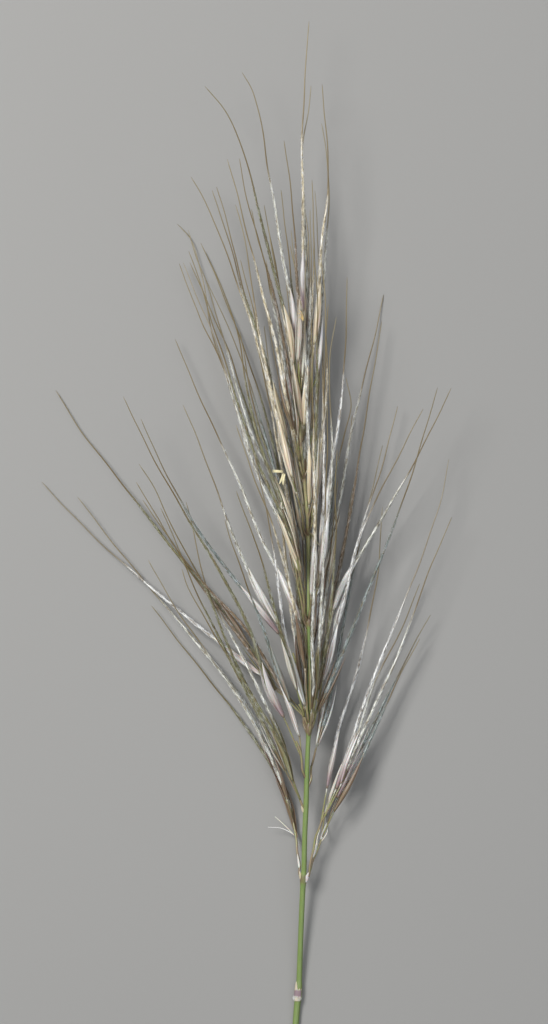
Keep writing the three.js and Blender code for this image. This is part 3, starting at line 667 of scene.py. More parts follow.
@dataclass
class Layout:
    """Lays the branches out by one rule, the same that places the solids.

    Where two branches would touch, their awns bend away from each other in height.
    """

    husk_length: float = 18.5
    stalk_root: float = 0.42
    pedicel_lead: float = 3.5
    sample_spacing: float = 1.8
    rest_height: float = 0.2
    lean_power: float = 1.15
    spread_tip: float = 3.0
    spread_base: float = 0.25
    steps: int = 600
    rate: float = 1.4
    stiffness: float = 0.8
    steepest: float = 0.75
    same_branch_share: float = 1.04
    block: int = 400
    seed: int = 23
    back_up_roll: float = 1.35
    back_up_play: float = 0.15
    sink_rows: float = 2.5
    sink: float = 0.55
    clear: Clearance = Clearance()

    def __post_init__(self) -> None:
        """Lays out every branch, settles the heights and curves the awns."""
        self.rows = -np.array([ring.row for ring in STEM])
        self.unknowns: list[float] = []
        random = Seeded(self.seed)
        self.branches = [self.lay_out(branch, random) for branch in BRANCHES]
        self.sample()
        self.settle()
        for laid in self.branches:
            self.curve_up(laid, random)
        for inner in INNERS:
            self.add_inner(inner, random)

    def stem_value(self, row: Array | float, field: str) -> Array | float:
        """A value of the stem's rings at a row of the photograph, such as its radius."""
        return np.interp(-np.asarray(row), self.rows, [getattr(ring, field) for ring in STEM])

    def stem_point(self, row: float) -> Array:
        """The point of the stem's axis at a row of the photograph."""
        return placed(((self.stem_value(row, "column"), row),), self.stem_value(row, "height"))[0]

    def leaving_index(self, points: Array, place: Array) -> int:
        """Where a pedicel leaves its stalk.

        Args:
            points: The stalk's points.
            place: The spikelet's base.

        Returns:
            The index of the stalk's point that the pedicel starts from.
        """
        best = int(np.argmin(np.hypot(*(points - place)[:, :2].T)))
        back = 0.0
        while best > 0 and back < self.pedicel_lead:
            back += float(np.linalg.norm(points[best] - points[best - 1]))
            best -= 1
        return best

    def lay_out(self, branch: Branch, random: Seeded) -> LaidBranch:
        """Lays one branch out flat, with its unknown heights at their first guesses.

        Args:
            branch: The branch's row of the table.
            random: The seeded numbers.

        Returns:
            The branch, whose unknowns are added to the list of all.
        """
        radius = self.stem_value(branch.root, "radius")
        angle = math.radians(branch.side)
        away = np.array([math.cos(angle), 0, math.sin(angle)])
        root = self.stem_point(branch.root) + (radius + self.clear.seat + self.stalk_root) * away
        anchor = self.stem_point(branch.root + self.sink_rows) + self.sink * radius * away
        flat_root = root * (1, 1, 0)
        stalk_curve = Curve(np.vstack([flat_root, placed(branch.stalk)]))
        stalk = stalk_curve.spaced(self.sample_spacing)
        curves = [Curve(placed(pixels)) for pixels in branch.awns]
        farthest = max(curve.length for curve in curves) + stalk_curve.length

        def rise(distance: Array | float) -> Array | float:
            """The first guess at the height at a distance from the root."""
            return root[2] + branch.lean * (np.asarray(distance) / farthest) ** self.lean_power

        laid = LaidBranch(branch, anchor, root, stalk, stalk_curve.length, len(self.unknowns), [])
        self.unknowns.append(float(rise(stalk_curve.length)))
        thirds = np.arange(4) / 3
        for curve, letters in zip(curves, branch.tints.split()):
            line = curve.spaced(self.sample_spacing)
            leaves_at = self.leaving_index(stalk, line[0])
            start = stalk_curve.length + float(np.linalg.norm(line[0] - stalk[-1]))
            offset = self.spread_tip * random.signed()
            guess = rise(start + thirds * curve.length)
            guess = guess + offset * (self.spread_base + (1 - self.spread_base) * thirds)
            pedicel = float(np.linalg.norm(stalk[leaves_at] - line[0]))
            share = leaves_at / (len(stalk) - 1)
            spikelet = Spikelet(line, curve.length, leaves_at, len(self.unknowns), pedicel, share)
            self.dye(spikelet, letters)
            laid.spikelets.append(spikelet)
            self.unknowns.extend(float(height) for height in guess)
        return laid

    @staticmethod
    def cubic(t: Array) -> Array:
        """The weights of a cubic curve's four heights at shares of its length, one row each."""
        s = 1 - t
        return np.column_stack([s**3, 3 * s**2 * t, 3 * s * t**2, t**3])

    def sample(self) -> None:
        """Samples every branch and the stem, with how each height depends on the unknowns."""
        clear = self.clear.stalk
        samples: list[Sample] = []
        strand = 0
        for number, laid in enumerate(self.branches):
            last = len(laid.stalk) - 1
            for index, point in enumerate(laid.stalk):
                t = index / last
                fixed, terms = laid.root[2] * (1 - t), {laid.stalk_end: t}
                samples.append(Sample(point, clear, fixed, terms, strand, number))
            for spikelet in laid.spikelets:
                strand += 1
                start, base = laid.stalk[spikelet.leaves_at], spikelet.line[0]
                pieces = max(1, nearest(spikelet.pedicel / self.sample_spacing))
                for u in np.arange(1, pieces) / pieces:
                    terms = {laid.stalk_end: spikelet.share * (1 - u), spikelet.first: u}
                    fixed = laid.root[2] * (1 - spikelet.share) * (1 - u)
                    samples.append(Sample(start + (base - start) * u, clear, fixed, terms, strand, number))
                t = np.arange(len(spikelet.line)) / (len(spikelet.line) - 1)
                radii = self.clear.round_spikelet(t * spikelet.length, self.husk_length)
                for point, radius, weights in zip(spikelet.line, radii, self.cubic(t)):
                    terms = {spikelet.first + k: weight for k, weight in enumerate(weights)}
                    samples.append(Sample(point, radius, 0.0, terms, strand, number, True))
            strand += 1
        for point in stem_curve().spaced(self.sample_spacing):
            radius = self.stem_value(ORIGIN[1] - point[1] / MM_PER_PIXEL, "radius")
            samples.append(Sample(point, float(radius), point[2], {}, strand, -1))
        self.places, self.radii, self.fixed, self.strands, self.owners, self.on_awn = (
            np.array([getattr(sample, field) for sample in samples])
            for field in ("place", "radius", "fixed", "strand", "owner", "on_awn")
        )
        self.weights = np.zeros((len(samples), len(self.unknowns)))
        for number, sample in enumerate(samples):
            for index, weight in sample.terms.items():
                self.weights[number, index] = weight

    def near_pairs(self) -> tuple[Array, Array, Array, Array]:
        """Finds the samples of different strands that lie near each other in plan.

        Returns:
            The first and second sample of each pair, the rise that clears them, and the sign that
            says which of their strands lies over the other.
        """
        start = self.weights @ np.array(self.unknowns) + self.fixed
        found = []
        for low in range(0, len(self.places), self.block):
            high = min(low + self.block, len(self.places))
            flat = np.hypot(*(self.places[low:high, None, k] - self.places[None, :, k] for k in (0, 1)))
            same = self.owners[low:high, None] == self.owners[None, :]
            total = self.radii[low:high, None] + self.radii[None, :]
            clear = np.where(same, total * self.same_branch_share, total + self.clear.between)
            both_awns = self.on_awn[low:high, None] & self.on_awn[None, :]
            later = np.arange(len(self.places))[None, :] > np.arange(low, high)[:, None]
            apart = self.strands[low:high, None] != self.strands[None, :]
            first, second = np.nonzero(later & apart & (both_awns | ~same) & (flat < clear))
            lift = np.sqrt(clear[first, second] ** 2 - flat[first, second] ** 2)
            found.append((first + low, second, lift))
        i, j, rise = (np.concatenate(column) for column in zip(*found))
        keys = self.strands[i] * (self.strands.max() + 1) + self.strands[j]
        _, group = np.unique(keys, return_inverse=True)
        lead = np.bincount(group, weights=start[i] - start[j])
        return i, j, rise, np.where(lead[group] >= 0, 1.0, -1.0)

    def crowding(self, heights: Array, own: Array, pairs: tuple[Array, ...]) -> tuple[Array, Array]:
        """Finds how the samples should move to clear their neighbours, the surface and the ceiling.

        Args:
            heights: The height of each sample.
            own: How readily each sample moves.
            pairs: What near_pairs found.

        Returns:
            The sum of the moves that are asked of each sample, and their number.
        """
        i, j, rise, sign = pairs
        count = len(self.places)
        lack = rise - sign * (heights[i] - heights[j])
        pair_total = own[i] + own[j]
        busy = (lack > 0) & (pair_total > 0)
        push = (sign * lack)[busy] / pair_total[busy]
        amount = np.bincount(i[busy], push, count) - np.bincount(j[busy], push, count)
        times = np.bincount(i[busy], minlength=count) + np.bincount(j[busy], minlength=count)
        below = self.radii + self.clear.floor - heights
        above = self.clear.ceiling - self.radii - heights
        for gap, way in ((below, 1), (above, -1)):
            out = (way * gap > 0) & (own > 0)
            amount += np.where(out, gap / np.where(own == 0, 1, own), 0)
            times = times + out
        return amount, times

    def too_steep(self, climb: Array, length: Array) -> tuple[Array, Array]:
        """Finds the stalks or pedicels that climb more steeply than they may.

        Args:
            climb: How far each one climbs.
            length: How long each one is in plan.

        Returns:
            How far the end of each has to come back, and whether it has to.
        """
        most = self.steepest * length
        steep = np.abs(climb) > most
        return np.where(steep, np.sign(climb) * most - climb, 0), steep

    def settle(self) -> None:
        """Settles the unknown heights, so that strands clear each other, the surface and the ceiling."""
        pairs = self.near_pairs()
        x = np.array(self.unknowns)
        squares = self.weights**2
        own = squares.sum(axis=1)
        stalks, stalk_roots, lengths = (np.array(column) for column in zip(*(
            (laid.stalk_end, laid.root[2], laid.stalk_length) for laid in self.branches
        )))
        first, share, pedicels, ends, roots = (np.array(column) for column in zip(*(
            (spikelet.first, spikelet.share, spikelet.pedicel, laid.stalk_end, laid.root[2])
            for laid in self.branches for spikelet in laid.spikelets
        )))
        held = np.array([laid.spikelets[0].first + 3 for laid in self.branches if laid.branch.rests])
        x[held] = self.rest_height
        size = len(x)
        for step in range(self.steps):
            amount, times = self.crowding(self.weights @ x + self.fixed, own, pairs)
            moved, turns = squares.T @ amount, self.weights.T @ times
            back, steep = self.too_steep(x[stalks] - stalk_roots, lengths)
            moved += np.bincount(stalks, back, size)
            turns += np.bincount(stalks, steep, size)
            back, steep = self.too_steep(x[first] - (roots + (x[ends] - roots) * share), pedicels)
            moved += np.bincount(first, back, size) - np.bincount(ends, back * share**2, size)
            turns += np.bincount(first, steep, size) + np.bincount(ends, steep * share, size)
            ease = self.stiffness * (1 - step / self.steps)
            a, b, c, d = (x[first + k] for k in range(4))
            for k, bend in enumerate((2 * b - c - a, (a + c) / 2 - b, (b + d) / 2 - c)):
                moved += np.bincount(first + k, ease * bend, size)
                turns += np.bincount(first + k, minlength=size)
            free = turns > 0
            free[held] = False
            x[free] += self.rate * moved[free] / turns[free]
        self.heights = self.weights @ x + self.fixed
        self.settled = x

    def curve_up(self, laid: LaidBranch, random: Seeded) -> None:
        """Gives a branch's stalk and awns their settled heights and makes curves of them.

        Args:
            laid: The branch.
            random: The seeded numbers, which also turn each spikelet round its awn.
        """
        t = np.arange(len(laid.stalk)) / (len(laid.stalk) - 1)
        laid.stalk[:, 2] = laid.root[2] + (self.settled[laid.stalk_end] - laid.root[2]) * t
        laid.stalk[0] = laid.anchor
        for spikelet in laid.spikelets:
            t = np.arange(len(spikelet.line)) / (len(spikelet.line) - 1)
            spikelet.line[:, 2] = self.cubic(t) @ self.settled[spikelet.first : spikelet.first + 4]
            start = laid.stalk[spikelet.leaves_at]
            spikelet.curve = Curve(np.vstack([start, spikelet.line]))
            pedicel = float(np.linalg.norm(spikelet.line[0] - start))
            spikelet.base_share = pedicel / spikelet.curve.length
            self.turn(spikelet, random)

    def turn(self, spikelet: Spikelet, random: Seeded) -> None:
        """Turns a spikelet round its awn by a seeded angle, or so that its broader husk lies on top."""
        base, play = (self.back_up_roll, self.back_up_play) if spikelet.back_up else (0.0, math.pi / 2)
        spikelet.roll = base + play * random.signed()

    @staticmethod
    def dye(spikelet: Spikelet, letters: str) -> None:
        """Reads a spikelet's two tints, and whether its broader husk lies on top, from two letters."""
        spikelet.husk, spikelet.awn = (Tint(letter.lower()) for letter in letters)
        spikelet.back_up = letters[0].isupper()

    def add_inner(self, inner: Inner, random: Seeded) -> None:
        """Adds a spikelet deep in the head to its branch.

        Args:
            inner: The spikelet's row of the table.
            random: The seeded numbers.
        """
        laid = next(laid for laid in self.branches if laid.branch.name == inner.branch)
        line = Curve(placed(inner.route)).spaced(self.sample_spacing)
        line[:, 2] = self.stem_value(inner.route[0][1], "height") + inner.rise
        start = laid.stalk[self.leaving_index(laid.stalk, line[0])]
        curve = Curve(np.vstack([start, line]))
        share = float(np.linalg.norm(line[0] - start)) / curve.length
        spikelet = Spikelet(line, curve.length, 0, 0, 0.0, 0.0, curve, share)
        self.dye(spikelet, inner.tints)
        self.turn(spikelet, random)
        laid.spikelets.append(spikelet)

    def height_near(self, place: Array, reach: float = 0.0) -> float:
        """The height of what lies at a place in plan.

        Args:
            place: A point, of which x and y count.
            reach: With a reach, the highest sample in it is taken, and otherwise the nearest one.

        Returns:
            The height over the surface in millimetres.
        """
        flat = np.hypot(*(self.places - place)[:, :2].T)
        if reach and np.any(flat < reach):
            return float(np.max(self.heights[flat < reach]))
        return float(self.heights[np.argmin(flat)])


class Template:
    """A small closed shape, made with bmesh operators, that is repeated and laid along curves."""

    def __init__(self, shape: bmesh.types.BMesh, name: str) -> None:
        """Keeps a shape and frees its bmesh.

        Args:
            shape: The shape in its own space, with its faces pointing out.
            name: A plain name.
        """
        self.mesh = bpy.data.meshes.new(name)
        shape.to_mesh(self.mesh)
        shape.free()
        places = np.empty(len(self.mesh.vertices) * 3)
        self.mesh.vertices.foreach_get("co", places)
        self.places = places.reshape(-1, 3)
        self.sizes = (len(self.mesh.vertices), len(self.mesh.edges), len(self.mesh.polygons))

    def repeated(self, count: int) -> bpy.types.Mesh:
        """Repeats the shape by doubling it.

        Args:
            count: How many copies the mesh has.

        Returns:
            A mesh with the copies one after another, all in the shape's own space.
        """
        shape = bmesh.new()
        shape.from_mesh(self.mesh)
        made = 1
        while made < count:
            more = min(made, count - made)
            parts: list = []
            for items, size in zip((shape.verts, shape.edges, shape.faces), self.sizes):
                items.ensure_lookup_table()
                parts.extend(items[: more * size])
            bmesh.ops.duplicate(shape, geom=parts)
            made += more
        mesh = bpy.data.meshes.new("copies")
        shape.to_mesh(mesh)
        shape.free()
        return mesh


def rod_shape(sides: int, steps: int, left_handed: bool = True) -> bmesh.types.BMesh:
    """A closed rod of radius 1 that stands on Z from 0 to 1.

    Args:
        sides: The sides of its section.
        steps: The stretches along it.
        left_handed: The rod is for a left-handed frame, so its faces are turned round.

    Returns:
        The rod.
    """
    shape = bmesh.new()
    bmesh.ops.create_cone(shape, cap_ends=True, segments=sides, radius1=1, radius2=1, depth=1)
    bmesh.ops.translate(shape, verts=shape.verts, vec=(0, 0, 0.5))
    upright = [edge for edge in shape.edges if abs(edge.verts[0].co.z - edge.verts[1].co.z) > 0.5]
    bmesh.ops.subdivide_edges(shape, edges=upright, cuts=steps - 1, use_grid_fill=True)
    if left_handed:
        bmesh.ops.reverse_faces(shape, faces=shape.faces)
    return shape


def blade_shape(across: int, along: int, left_handed: bool = True) -> bmesh.types.BMesh:
    """A thin closed slab: X from -1 to 1 across it, Y from 0 to 1 along it and Z from -1 to 0.

    Args:
        across: The stretches across.
        along: The stretches along.
        left_handed: The slab is for a left-handed frame, so its faces are turned round.

    Returns:
        The slab, whose Z is 0 on its back and -1 on its inner face.
    """
    shape = bmesh.new()
    bmesh.ops.create_grid(shape, x_segments=across, y_segments=along, size=1)
    bmesh.ops.scale(shape, verts=shape.verts, vec=(1, 0.5, 1))
    bmesh.ops.translate(shape, verts=shape.verts, vec=(0, 0.5, 0))
    bmesh.ops.solidify(shape, geom=shape.faces, thickness=1)
    lowest = min(vert.co.z for vert in shape.verts)
    bmesh.ops.translate(shape, verts=shape.verts, vec=(0, 0, -1 - lowest))
    bmesh.ops.recalc_face_normals(shape, faces=shape.faces)
    if left_handed:
        bmesh.ops.reverse_faces(shape, faces=shape.faces)
    return shape


def spike_shape() -> bmesh.types.BMesh:
    """A three-sided spike on Z from 0 to 1, with a foot of radius 1.

    Returns:
        The spike.
    """
    shape = bmesh.new()
    bmesh.ops.create_cone(shape, cap_ends=True, segments=3, radius1=1, radius2=0, depth=1)
    bmesh.ops.translate(shape, verts=shape.verts, vec=(0, 0, 0.5))
    return shape


class Bunch:
    """Copies of templates, laid in their places, that become one mesh with its pattern attributes.

    The attribute grain holds how far across and along a point lies on its own copy and the copy's
    tone. The attribute tint holds the copy's colour.
    """

    FLOOR = 0.02

    def __init__(self, name: str) -> None:
        """Starts an empty bunch.

        Args:
            name: The name of the piece that it becomes.
        """
        self.name = name
        self.meshes: list[bpy.types.Mesh] = []
        self.places: list[Array] = []
        self.grains: list[Array] = []
        self.tints: list[Array] = []

    def add(self, template: Template, places: Array, grain: Array, tint: Array) -> None:
        """Adds copies of a template.

        Args:
            template: The shape that is repeated.
            places: For each copy, the place of each vertex in millimetres.
            grain: For each copy and vertex, its across, along and tone.
            tint: For each copy, its colour.
        """
        copies = places.reshape(-1, len(template.places), 3)
        self.meshes.append(template.repeated(len(copies)))
        self.places.append(copies.reshape(-1, 3))
        self.grains.append(np.broadcast_to(grain, copies.shape).reshape(-1, 3))
        colours = np.broadcast_to(np.asarray(tint, dtype=float).reshape(-1, 1, 3), copies.shape)
        self.tints.append(colours.reshape(-1, 3))

    def build(self, material: bpy.types.Material) -> bpy.types.Object:
        """Joins the copies in one piece.

        Args:
            material: The piece's finish.

        Returns:
            The piece, which rides on the part's only body.
        """
        joined = bmesh.new()
        for mesh in self.meshes:
            joined.from_mesh(mesh)
            bpy.data.meshes.remove(mesh)
        mesh = bpy.data.meshes.new(self.name)
        joined.to_mesh(mesh)
        joined.free()
        places = np.vstack(self.places)
        places[:, 2] = np.maximum(places[:, 2], self.FLOOR)
        mesh.vertices.foreach_set("co", (places * MM).ravel())
        grain = mesh.attributes.new("grain", "FLOAT_VECTOR", "POINT")
        grain.data.foreach_set("vector", np.vstack(self.grains).ravel())
        tints = np.vstack(self.tints)
        tint = mesh.attributes.new("tint", "FLOAT_COLOR", "POINT")
        tint.data.foreach_set("color", np.column_stack([tints, np.ones(len(tints))]).ravel())
        mesh.shade_smooth()
        mesh.materials.append(material)
        mesh.update()
        piece = bpy.data.objects.new(self.name, mesh)
        bpy.context.collection.objects.link(piece)
        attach(piece, "root")
        LOG.info("%s: %d faces", self.name, len(mesh.polygons))
        return piece


def lay(curve: Curve, share: Array, across: Array, lift: Array, roll: Array | float = 0.0) -> Array:
    """Lays points along a curve.

    Args:
        curve: The curve.
        share: How far along the curve each point lies.
        across: How far each point lies to the curve's side, in millimetres.
        lift: How far each point lies over the curve, in millimetres.
        roll: How far side and over are turned round the curve, in radians.

    Returns:
        The points.
    """
    point, _, side, over = curve.frames(share)
    turned = across * np.cos(roll) - lift * np.sin(roll)
    raised = across * np.sin(roll) + lift * np.cos(roll)
    return point + side * turned[:, None] + over * raised[:, None]


def lay_rod(curve: Curve, rod: Template, radii: tuple[float, float]) -> Array:
    """Lays a rod along the whole of a curve.

    Args:
        curve: The curve.
        rod: The upright rod.
        radii: Its radius at the start and at the end, in millimetres.

    Returns:
        The places of its vertices.
    """
    x, y, share = rod.places.T
    radius = np.interp(share, (0, 1), radii)
    return lay(curve, share, x * radius, y * radius)


def around_rod(rod: Template) -> Array:
    """How far round a rod each vertex lies, from -1 to 1, with the join underneath."""
    x, y, _ = rod.places.T
    return np.mod(np.arctan2(y, x) / math.pi + 0.5, 2) - 1


def planted(root: Array, *parts: tuple[Array, Array]) -> Array:
    """Plants one spike at each root.

    Args:
        root: One point for each spike.
        parts: Directions of the spikes, each with how far every vertex lies along it.

    Returns:
        The places of the vertices of every spike.
    """
    places = root[:, None, :]
    for way, size in parts:
        places = places + way[:, None, :] * size[..., None]
    return places


def grained(across: Array | float, along: Array | float, tone: Array | float) -> Array:
    """The across, along and tone of vertices, in the rows that a bunch takes."""
    return np.stack(np.broadcast_arrays(across, along, tone), axis=-1)


def smooth(low: float, high: float, value: Array) -> Array:
    """A soft step from 0 at low to 1 at high."""
    t = np.clip((value - low) / (high - low), 0, 1)
    return t * t * (3 - 2 * t)


class Signal:
    """A shader socket that is reckoned with as a number is: each operator adds a Math node."""

    def __init__(self, recipe: "Recipe", socket: bpy.types.NodeSocket | None) -> None:
        """Wraps an output socket of a recipe's node."""
        self.recipe = recipe
        self.socket = socket

    def _with(self, operation: str, *values: "Signal | float") -> "Signal":
        """A Math node of an operation on values."""
        return self.recipe.node("ShaderNodeMath", {"operation": operation}, dict(enumerate(values)))

    def __add__(self, other: "Signal | float") -> "Signal":
        """The sum."""
        return self._with("ADD", self, other)

    def __sub__(self, other: "Signal | float") -> "Signal":
        """The difference."""
        return self._with("SUBTRACT", self, other)

    def __rsub__(self, other: float) -> "Signal":
        """The difference, from the other side."""
        return self._with("SUBTRACT", other, self)

    def __mul__(self, other: "Signal | float") -> "Signal":
        """The product."""
        return self._with("MULTIPLY", self, other)

    __radd__ = __add__
    __rmul__ = __mul__

    def __pow__(self, other: "Signal | float") -> "Signal":
        """The power."""
        return self._with("POWER", self, other)

    def __abs__(self) -> "Signal":
        """The size without its sign."""
        return self._with("ABSOLUTE", self)

    def wave(self) -> "Signal":
        """A cosine brought between 0 and 1."""
        return self._with("COSINE", self) * 0.5 + 0.5

    def step(self, low: float, high: float) -> "Signal":
        """A soft step from 0 at low to 1 at high, or from 1 down to 0 if low is the higher.

        Args:
            low: Where the step starts.
            high: Where it ends.

        Returns:
            The step.
        """
        if low > high:
            return 1 - self.step(high, low)
        settings = {"interpolation_type": "SMOOTHSTEP"}
        values = {"Value": self, "From Min": low, "From Max": high}
        return self.recipe.node("ShaderNodeMapRange", settings, values)


class Recipe:
    """The node tree of one material, and the ways to add to it."""

    MIX_SOCKETS = (0, 6, 7)
    MIX_RESULT = 2

    def __init__(self, name: str) -> None:
        """Starts an empty material.

        Args:
            name: Its name.
        """
        self.material = bpy.data.materials.new(name)
        self.material.use_nodes = True
        self.tree = self.material.node_tree
        self.tree.nodes.clear()

    def node(self, kind: str, settings: dict, inputs: dict, output: int | str = 0) -> Signal:
        """Adds a node.

        Args:
            kind: The node's type.
            settings: Its properties.
            inputs: Values or signals by the name or number of their socket.
            output: The name or number of the output that is wanted.

        Returns:
            That output, if the node has any.
        """
        node = self.tree.nodes.new(kind)
        for key, value in settings.items():
            setattr(node, key, value)
        for key, value in inputs.items():
            if isinstance(value, Signal):
                self.tree.links.new(value.socket, node.inputs[key])
            elif isinstance(value, tuple) and len(node.inputs[key].default_value) == 4:
                node.inputs[key].default_value = (*value, 1)
            else:
                node.inputs[key].default_value = value
        return Signal(self, node.outputs[output] if node.outputs else None)

    def attribute(self, name: str, output: str) -> Signal:
        """A mesh attribute, as Color or Vector."""
        return self.node("ShaderNodeAttribute", {"attribute_name": name}, {}, output)

    def grain(self) -> tuple[Signal, Signal, Signal]:
        """The across, along and tone of the point."""
        vector = self.attribute("grain", "Vector")
        return tuple(self.node("ShaderNodeSeparateXYZ", {}, {0: vector}, axis) for axis in "XYZ")

    def tint(self) -> Signal:
        """The colour of the copy that the point lies on."""
        return self.attribute("tint", "Color")

    def paleness(self) -> Signal:
        """How pale the copy's colour is, from a quarter for a dark one to 1 for a pale one."""
        return (self.tint() + 0.0).step(0.1, 0.55) * 0.75 + 0.25

    def noise(self, scale: float, detail: float = 2.0, place: tuple[Signal | float, ...] = ()) -> Signal:
        """Cloudy noise from 0 to 1.

        Args:
            scale: How many clouds fit in a unit of the place.
            detail: How many finer layers it has.
            place: The three values that it is read at, or none for the object's own coordinates.

        Returns:
            The noise.
        """
        if place:
            vector = self.node("ShaderNodeCombineXYZ", {}, dict(enumerate(place)))
        else:
            vector = self.node("ShaderNodeTexCoord", {}, {}, "Object")
        values = {"Vector": vector, "Scale": scale, "Detail": detail}
        return self.node("ShaderNodeTexNoise", {"noise_dimensions": "3D"}, values)

    def painted(self, ground: Signal | Colour, *coats: tuple[Signal, Signal | Colour]) -> Signal:
        """Paints one coat of colour after another over a ground.

        Args:
            ground: The lowest colour.
            coats: For each coat, how much of it shows, and its colour.

        Returns:
            The colour of all together.
        """
        settings = {"data_type": "RGBA", "blend_type": "MIX", "clamp_factor": True}
        for shown, colour in coats:
            values = dict(zip(self.MIX_SOCKETS, (shown, ground, colour)))
            ground = self.node("ShaderNodeMix", settings, values, self.MIX_RESULT)
        return ground

    def bump(self, height: Signal, strength: float, depth: float) -> Signal:
        """A relief for the normal, with its depth in metres."""
        return self.node("ShaderNodeBump", {}, {"Height": height, "Strength": strength, "Distance": depth})

    def finish(self, **values: Signal | float | Colour) -> bpy.types.Material:
        """Ends the material with a Principled shader.

        Args:
            values: Its sockets, by name with underscores for spaces.

        Returns:
            The material.
        """
        named = {key.replace("_", " "): value for key, value in values.items()}
        shader = self.node("ShaderNodeBsdfPrincipled", {}, named)
        self.node("ShaderNodeOutputMaterial", {}, {"Surface": shader})
        return self.material


@dataclass(frozen=True)
class HuskFinish:
    """Papery husks: finely streaked, with paler streaks painted as a silky sheen, pale margins, and mauve
    at the foot of some.
    """

    mauve: Colour = (0.22, 0.11, 0.14)
    pink: Colour = (0.58, 0.36, 0.33)
    brown: Colour = (0.17, 0.11, 0.06)
    nerve: Colour = (0.24, 0.21, 0.10)
    # The colour of the paler streaks, which are a painted sheen, and of the pale margins
    painted_sheen_and_margin: Colour = (0.86, 0.83, 0.80)
    tip: Colour = (0.62, 0.54, 0.40)
    nerves: float = 2.6
    relief: float = 0.00012
    roughness: float = 0.4

    def make(self) -> bpy.types.Material:
        """Makes the material, whose tone is 2 to 3 on a mauve husk and 0 to 1 on any other.

        Returns:
            The material.
        """
        recipe = Recipe("papery_husk")
        across, along, tone = recipe.grain()
        streak = recipe.noise(1.0, 2.0, (across * 2.3, along * 1.2, tone * 37))
        cloud = recipe.noise(1.0, 2.0, (across * 1.5, along * 4, tone * 53))
        pale = recipe.paleness()
        edge = abs(across).step(0.6, 0.95) * along.step(0.05, 0.3)
        nerve = (across * (self.nerves * math.pi)).wave() ** 4 * along.step(0.9, 0.2)
        flush = cloud.step(0.42, 0.6) * along.step(0.75, 0.35) * tone.step(0.35, 0.9) * tone.step(1.9, 1.1)
        foot = (along + streak * 0.5).step(0.7, 0.4) * tone.step(1.2, 1.8)
        colour = recipe.painted(
            recipe.tint(),
            (streak.step(0.52, 0.57) * (0.85 - pale * 0.45), self.brown),
            # Paler streaks: painted sheen; then the pale margins
            (streak.step(0.44, 0.39) * pale * 0.6, self.painted_sheen_and_margin),
            (edge * pale * 0.4, self.painted_sheen_and_margin),
            (nerve * 0.6, self.nerve),
            (flush * pale * 0.4, self.pink),
            (foot * 0.65, self.mauve),
            (along.step(0.1, 0.0) * 0.6, self.nerve),
            (along.step(0.8, 1.0) * pale * 0.4, self.tip),
        )
        return recipe.finish(
            Base_Color=colour,
            Roughness=streak * 0.25 + (self.roughness - 0.12),
            Normal=recipe.bump(nerve + streak, 0.5, self.relief),
            Coat_Weight=0.15,
            Coat_Roughness=0.3,
            Subsurface_Weight=0.12,
            Subsurface_Scale=0.0006,
        )


@dataclass(frozen=True)
class AwnFinish:
    """Stalks, pedicels and awns: green, then tinted and ridged with painted shade in the grooves and
    painted glints, then golden and tan at the tip.
    """

    stalk: Colour = (0.25, 0.29, 0.09)
    stalk_dry: Colour = (0.25, 0.18, 0.12)
    stalk_foot: Colour = (0.15, 0.105, 0.06)
    # The colour of painted shade in the dark gaps of the felted column
    groove: Colour = (0.16, 0.11, 0.06)
    # The colour of a painted highlight on the column and its hairs
    painted_glint: Colour = (0.90, 0.90, 0.88)
    golden: Colour = (0.125, 0.085, 0.026)
    tan: Colour = (0.19, 0.15, 0.07)
    relief: float = 0.0001
    roughness: float = 0.38

    def make(self) -> bpy.types.Material:
        """Makes the material.

        Returns:
            The material.
        """
        recipe = Recipe("awn")
        around, along, tone = recipe.grain()
        mottle = recipe.noise(1.0, 3.0, (around * 1.5, along * 14, tone * 41))
        felt = recipe.noise(1.0, 3.0, (around * 2.4, along * 18, tone * 31))
        stalk = recipe.painted(
            self.stalk,
            ((mottle + tone * 0.3).step(0.4, 0.85), self.stalk_dry),
            (along.step(0.18, 0.04) * 0.8, self.stalk_foot),
        )
        column = recipe.painted(
            recipe.tint(),
            # Painted shade in the gaps of the felt, then painted glints on its paler tufts
            (felt.step(0.5, 0.4) * 0.8, self.groove),
            (felt.step(0.52, 0.6) * recipe.paleness() * 0.7, self.painted_glint),
        )
        bristle = recipe.painted(
            self.golden,
            ((along - 2 + mottle * 0.3).step(0.25, 1.0), self.tan),
            ((tone * 7).wave() * 0.15, recipe.tint()),
        )
        colour = recipe.painted(stalk, (along.step(0.7, 1.1), column), (along.step(1.85, 2.15), bristle))
        return recipe.finish(
            Base_Color=colour,
            Roughness=mottle * 0.2 + (self.roughness - 0.1),
            Normal=recipe.bump(mottle * 0.4 + felt, 0.5, self.relief),
            Coat_Weight=0.25,
            Coat_Roughness=0.25,
        )


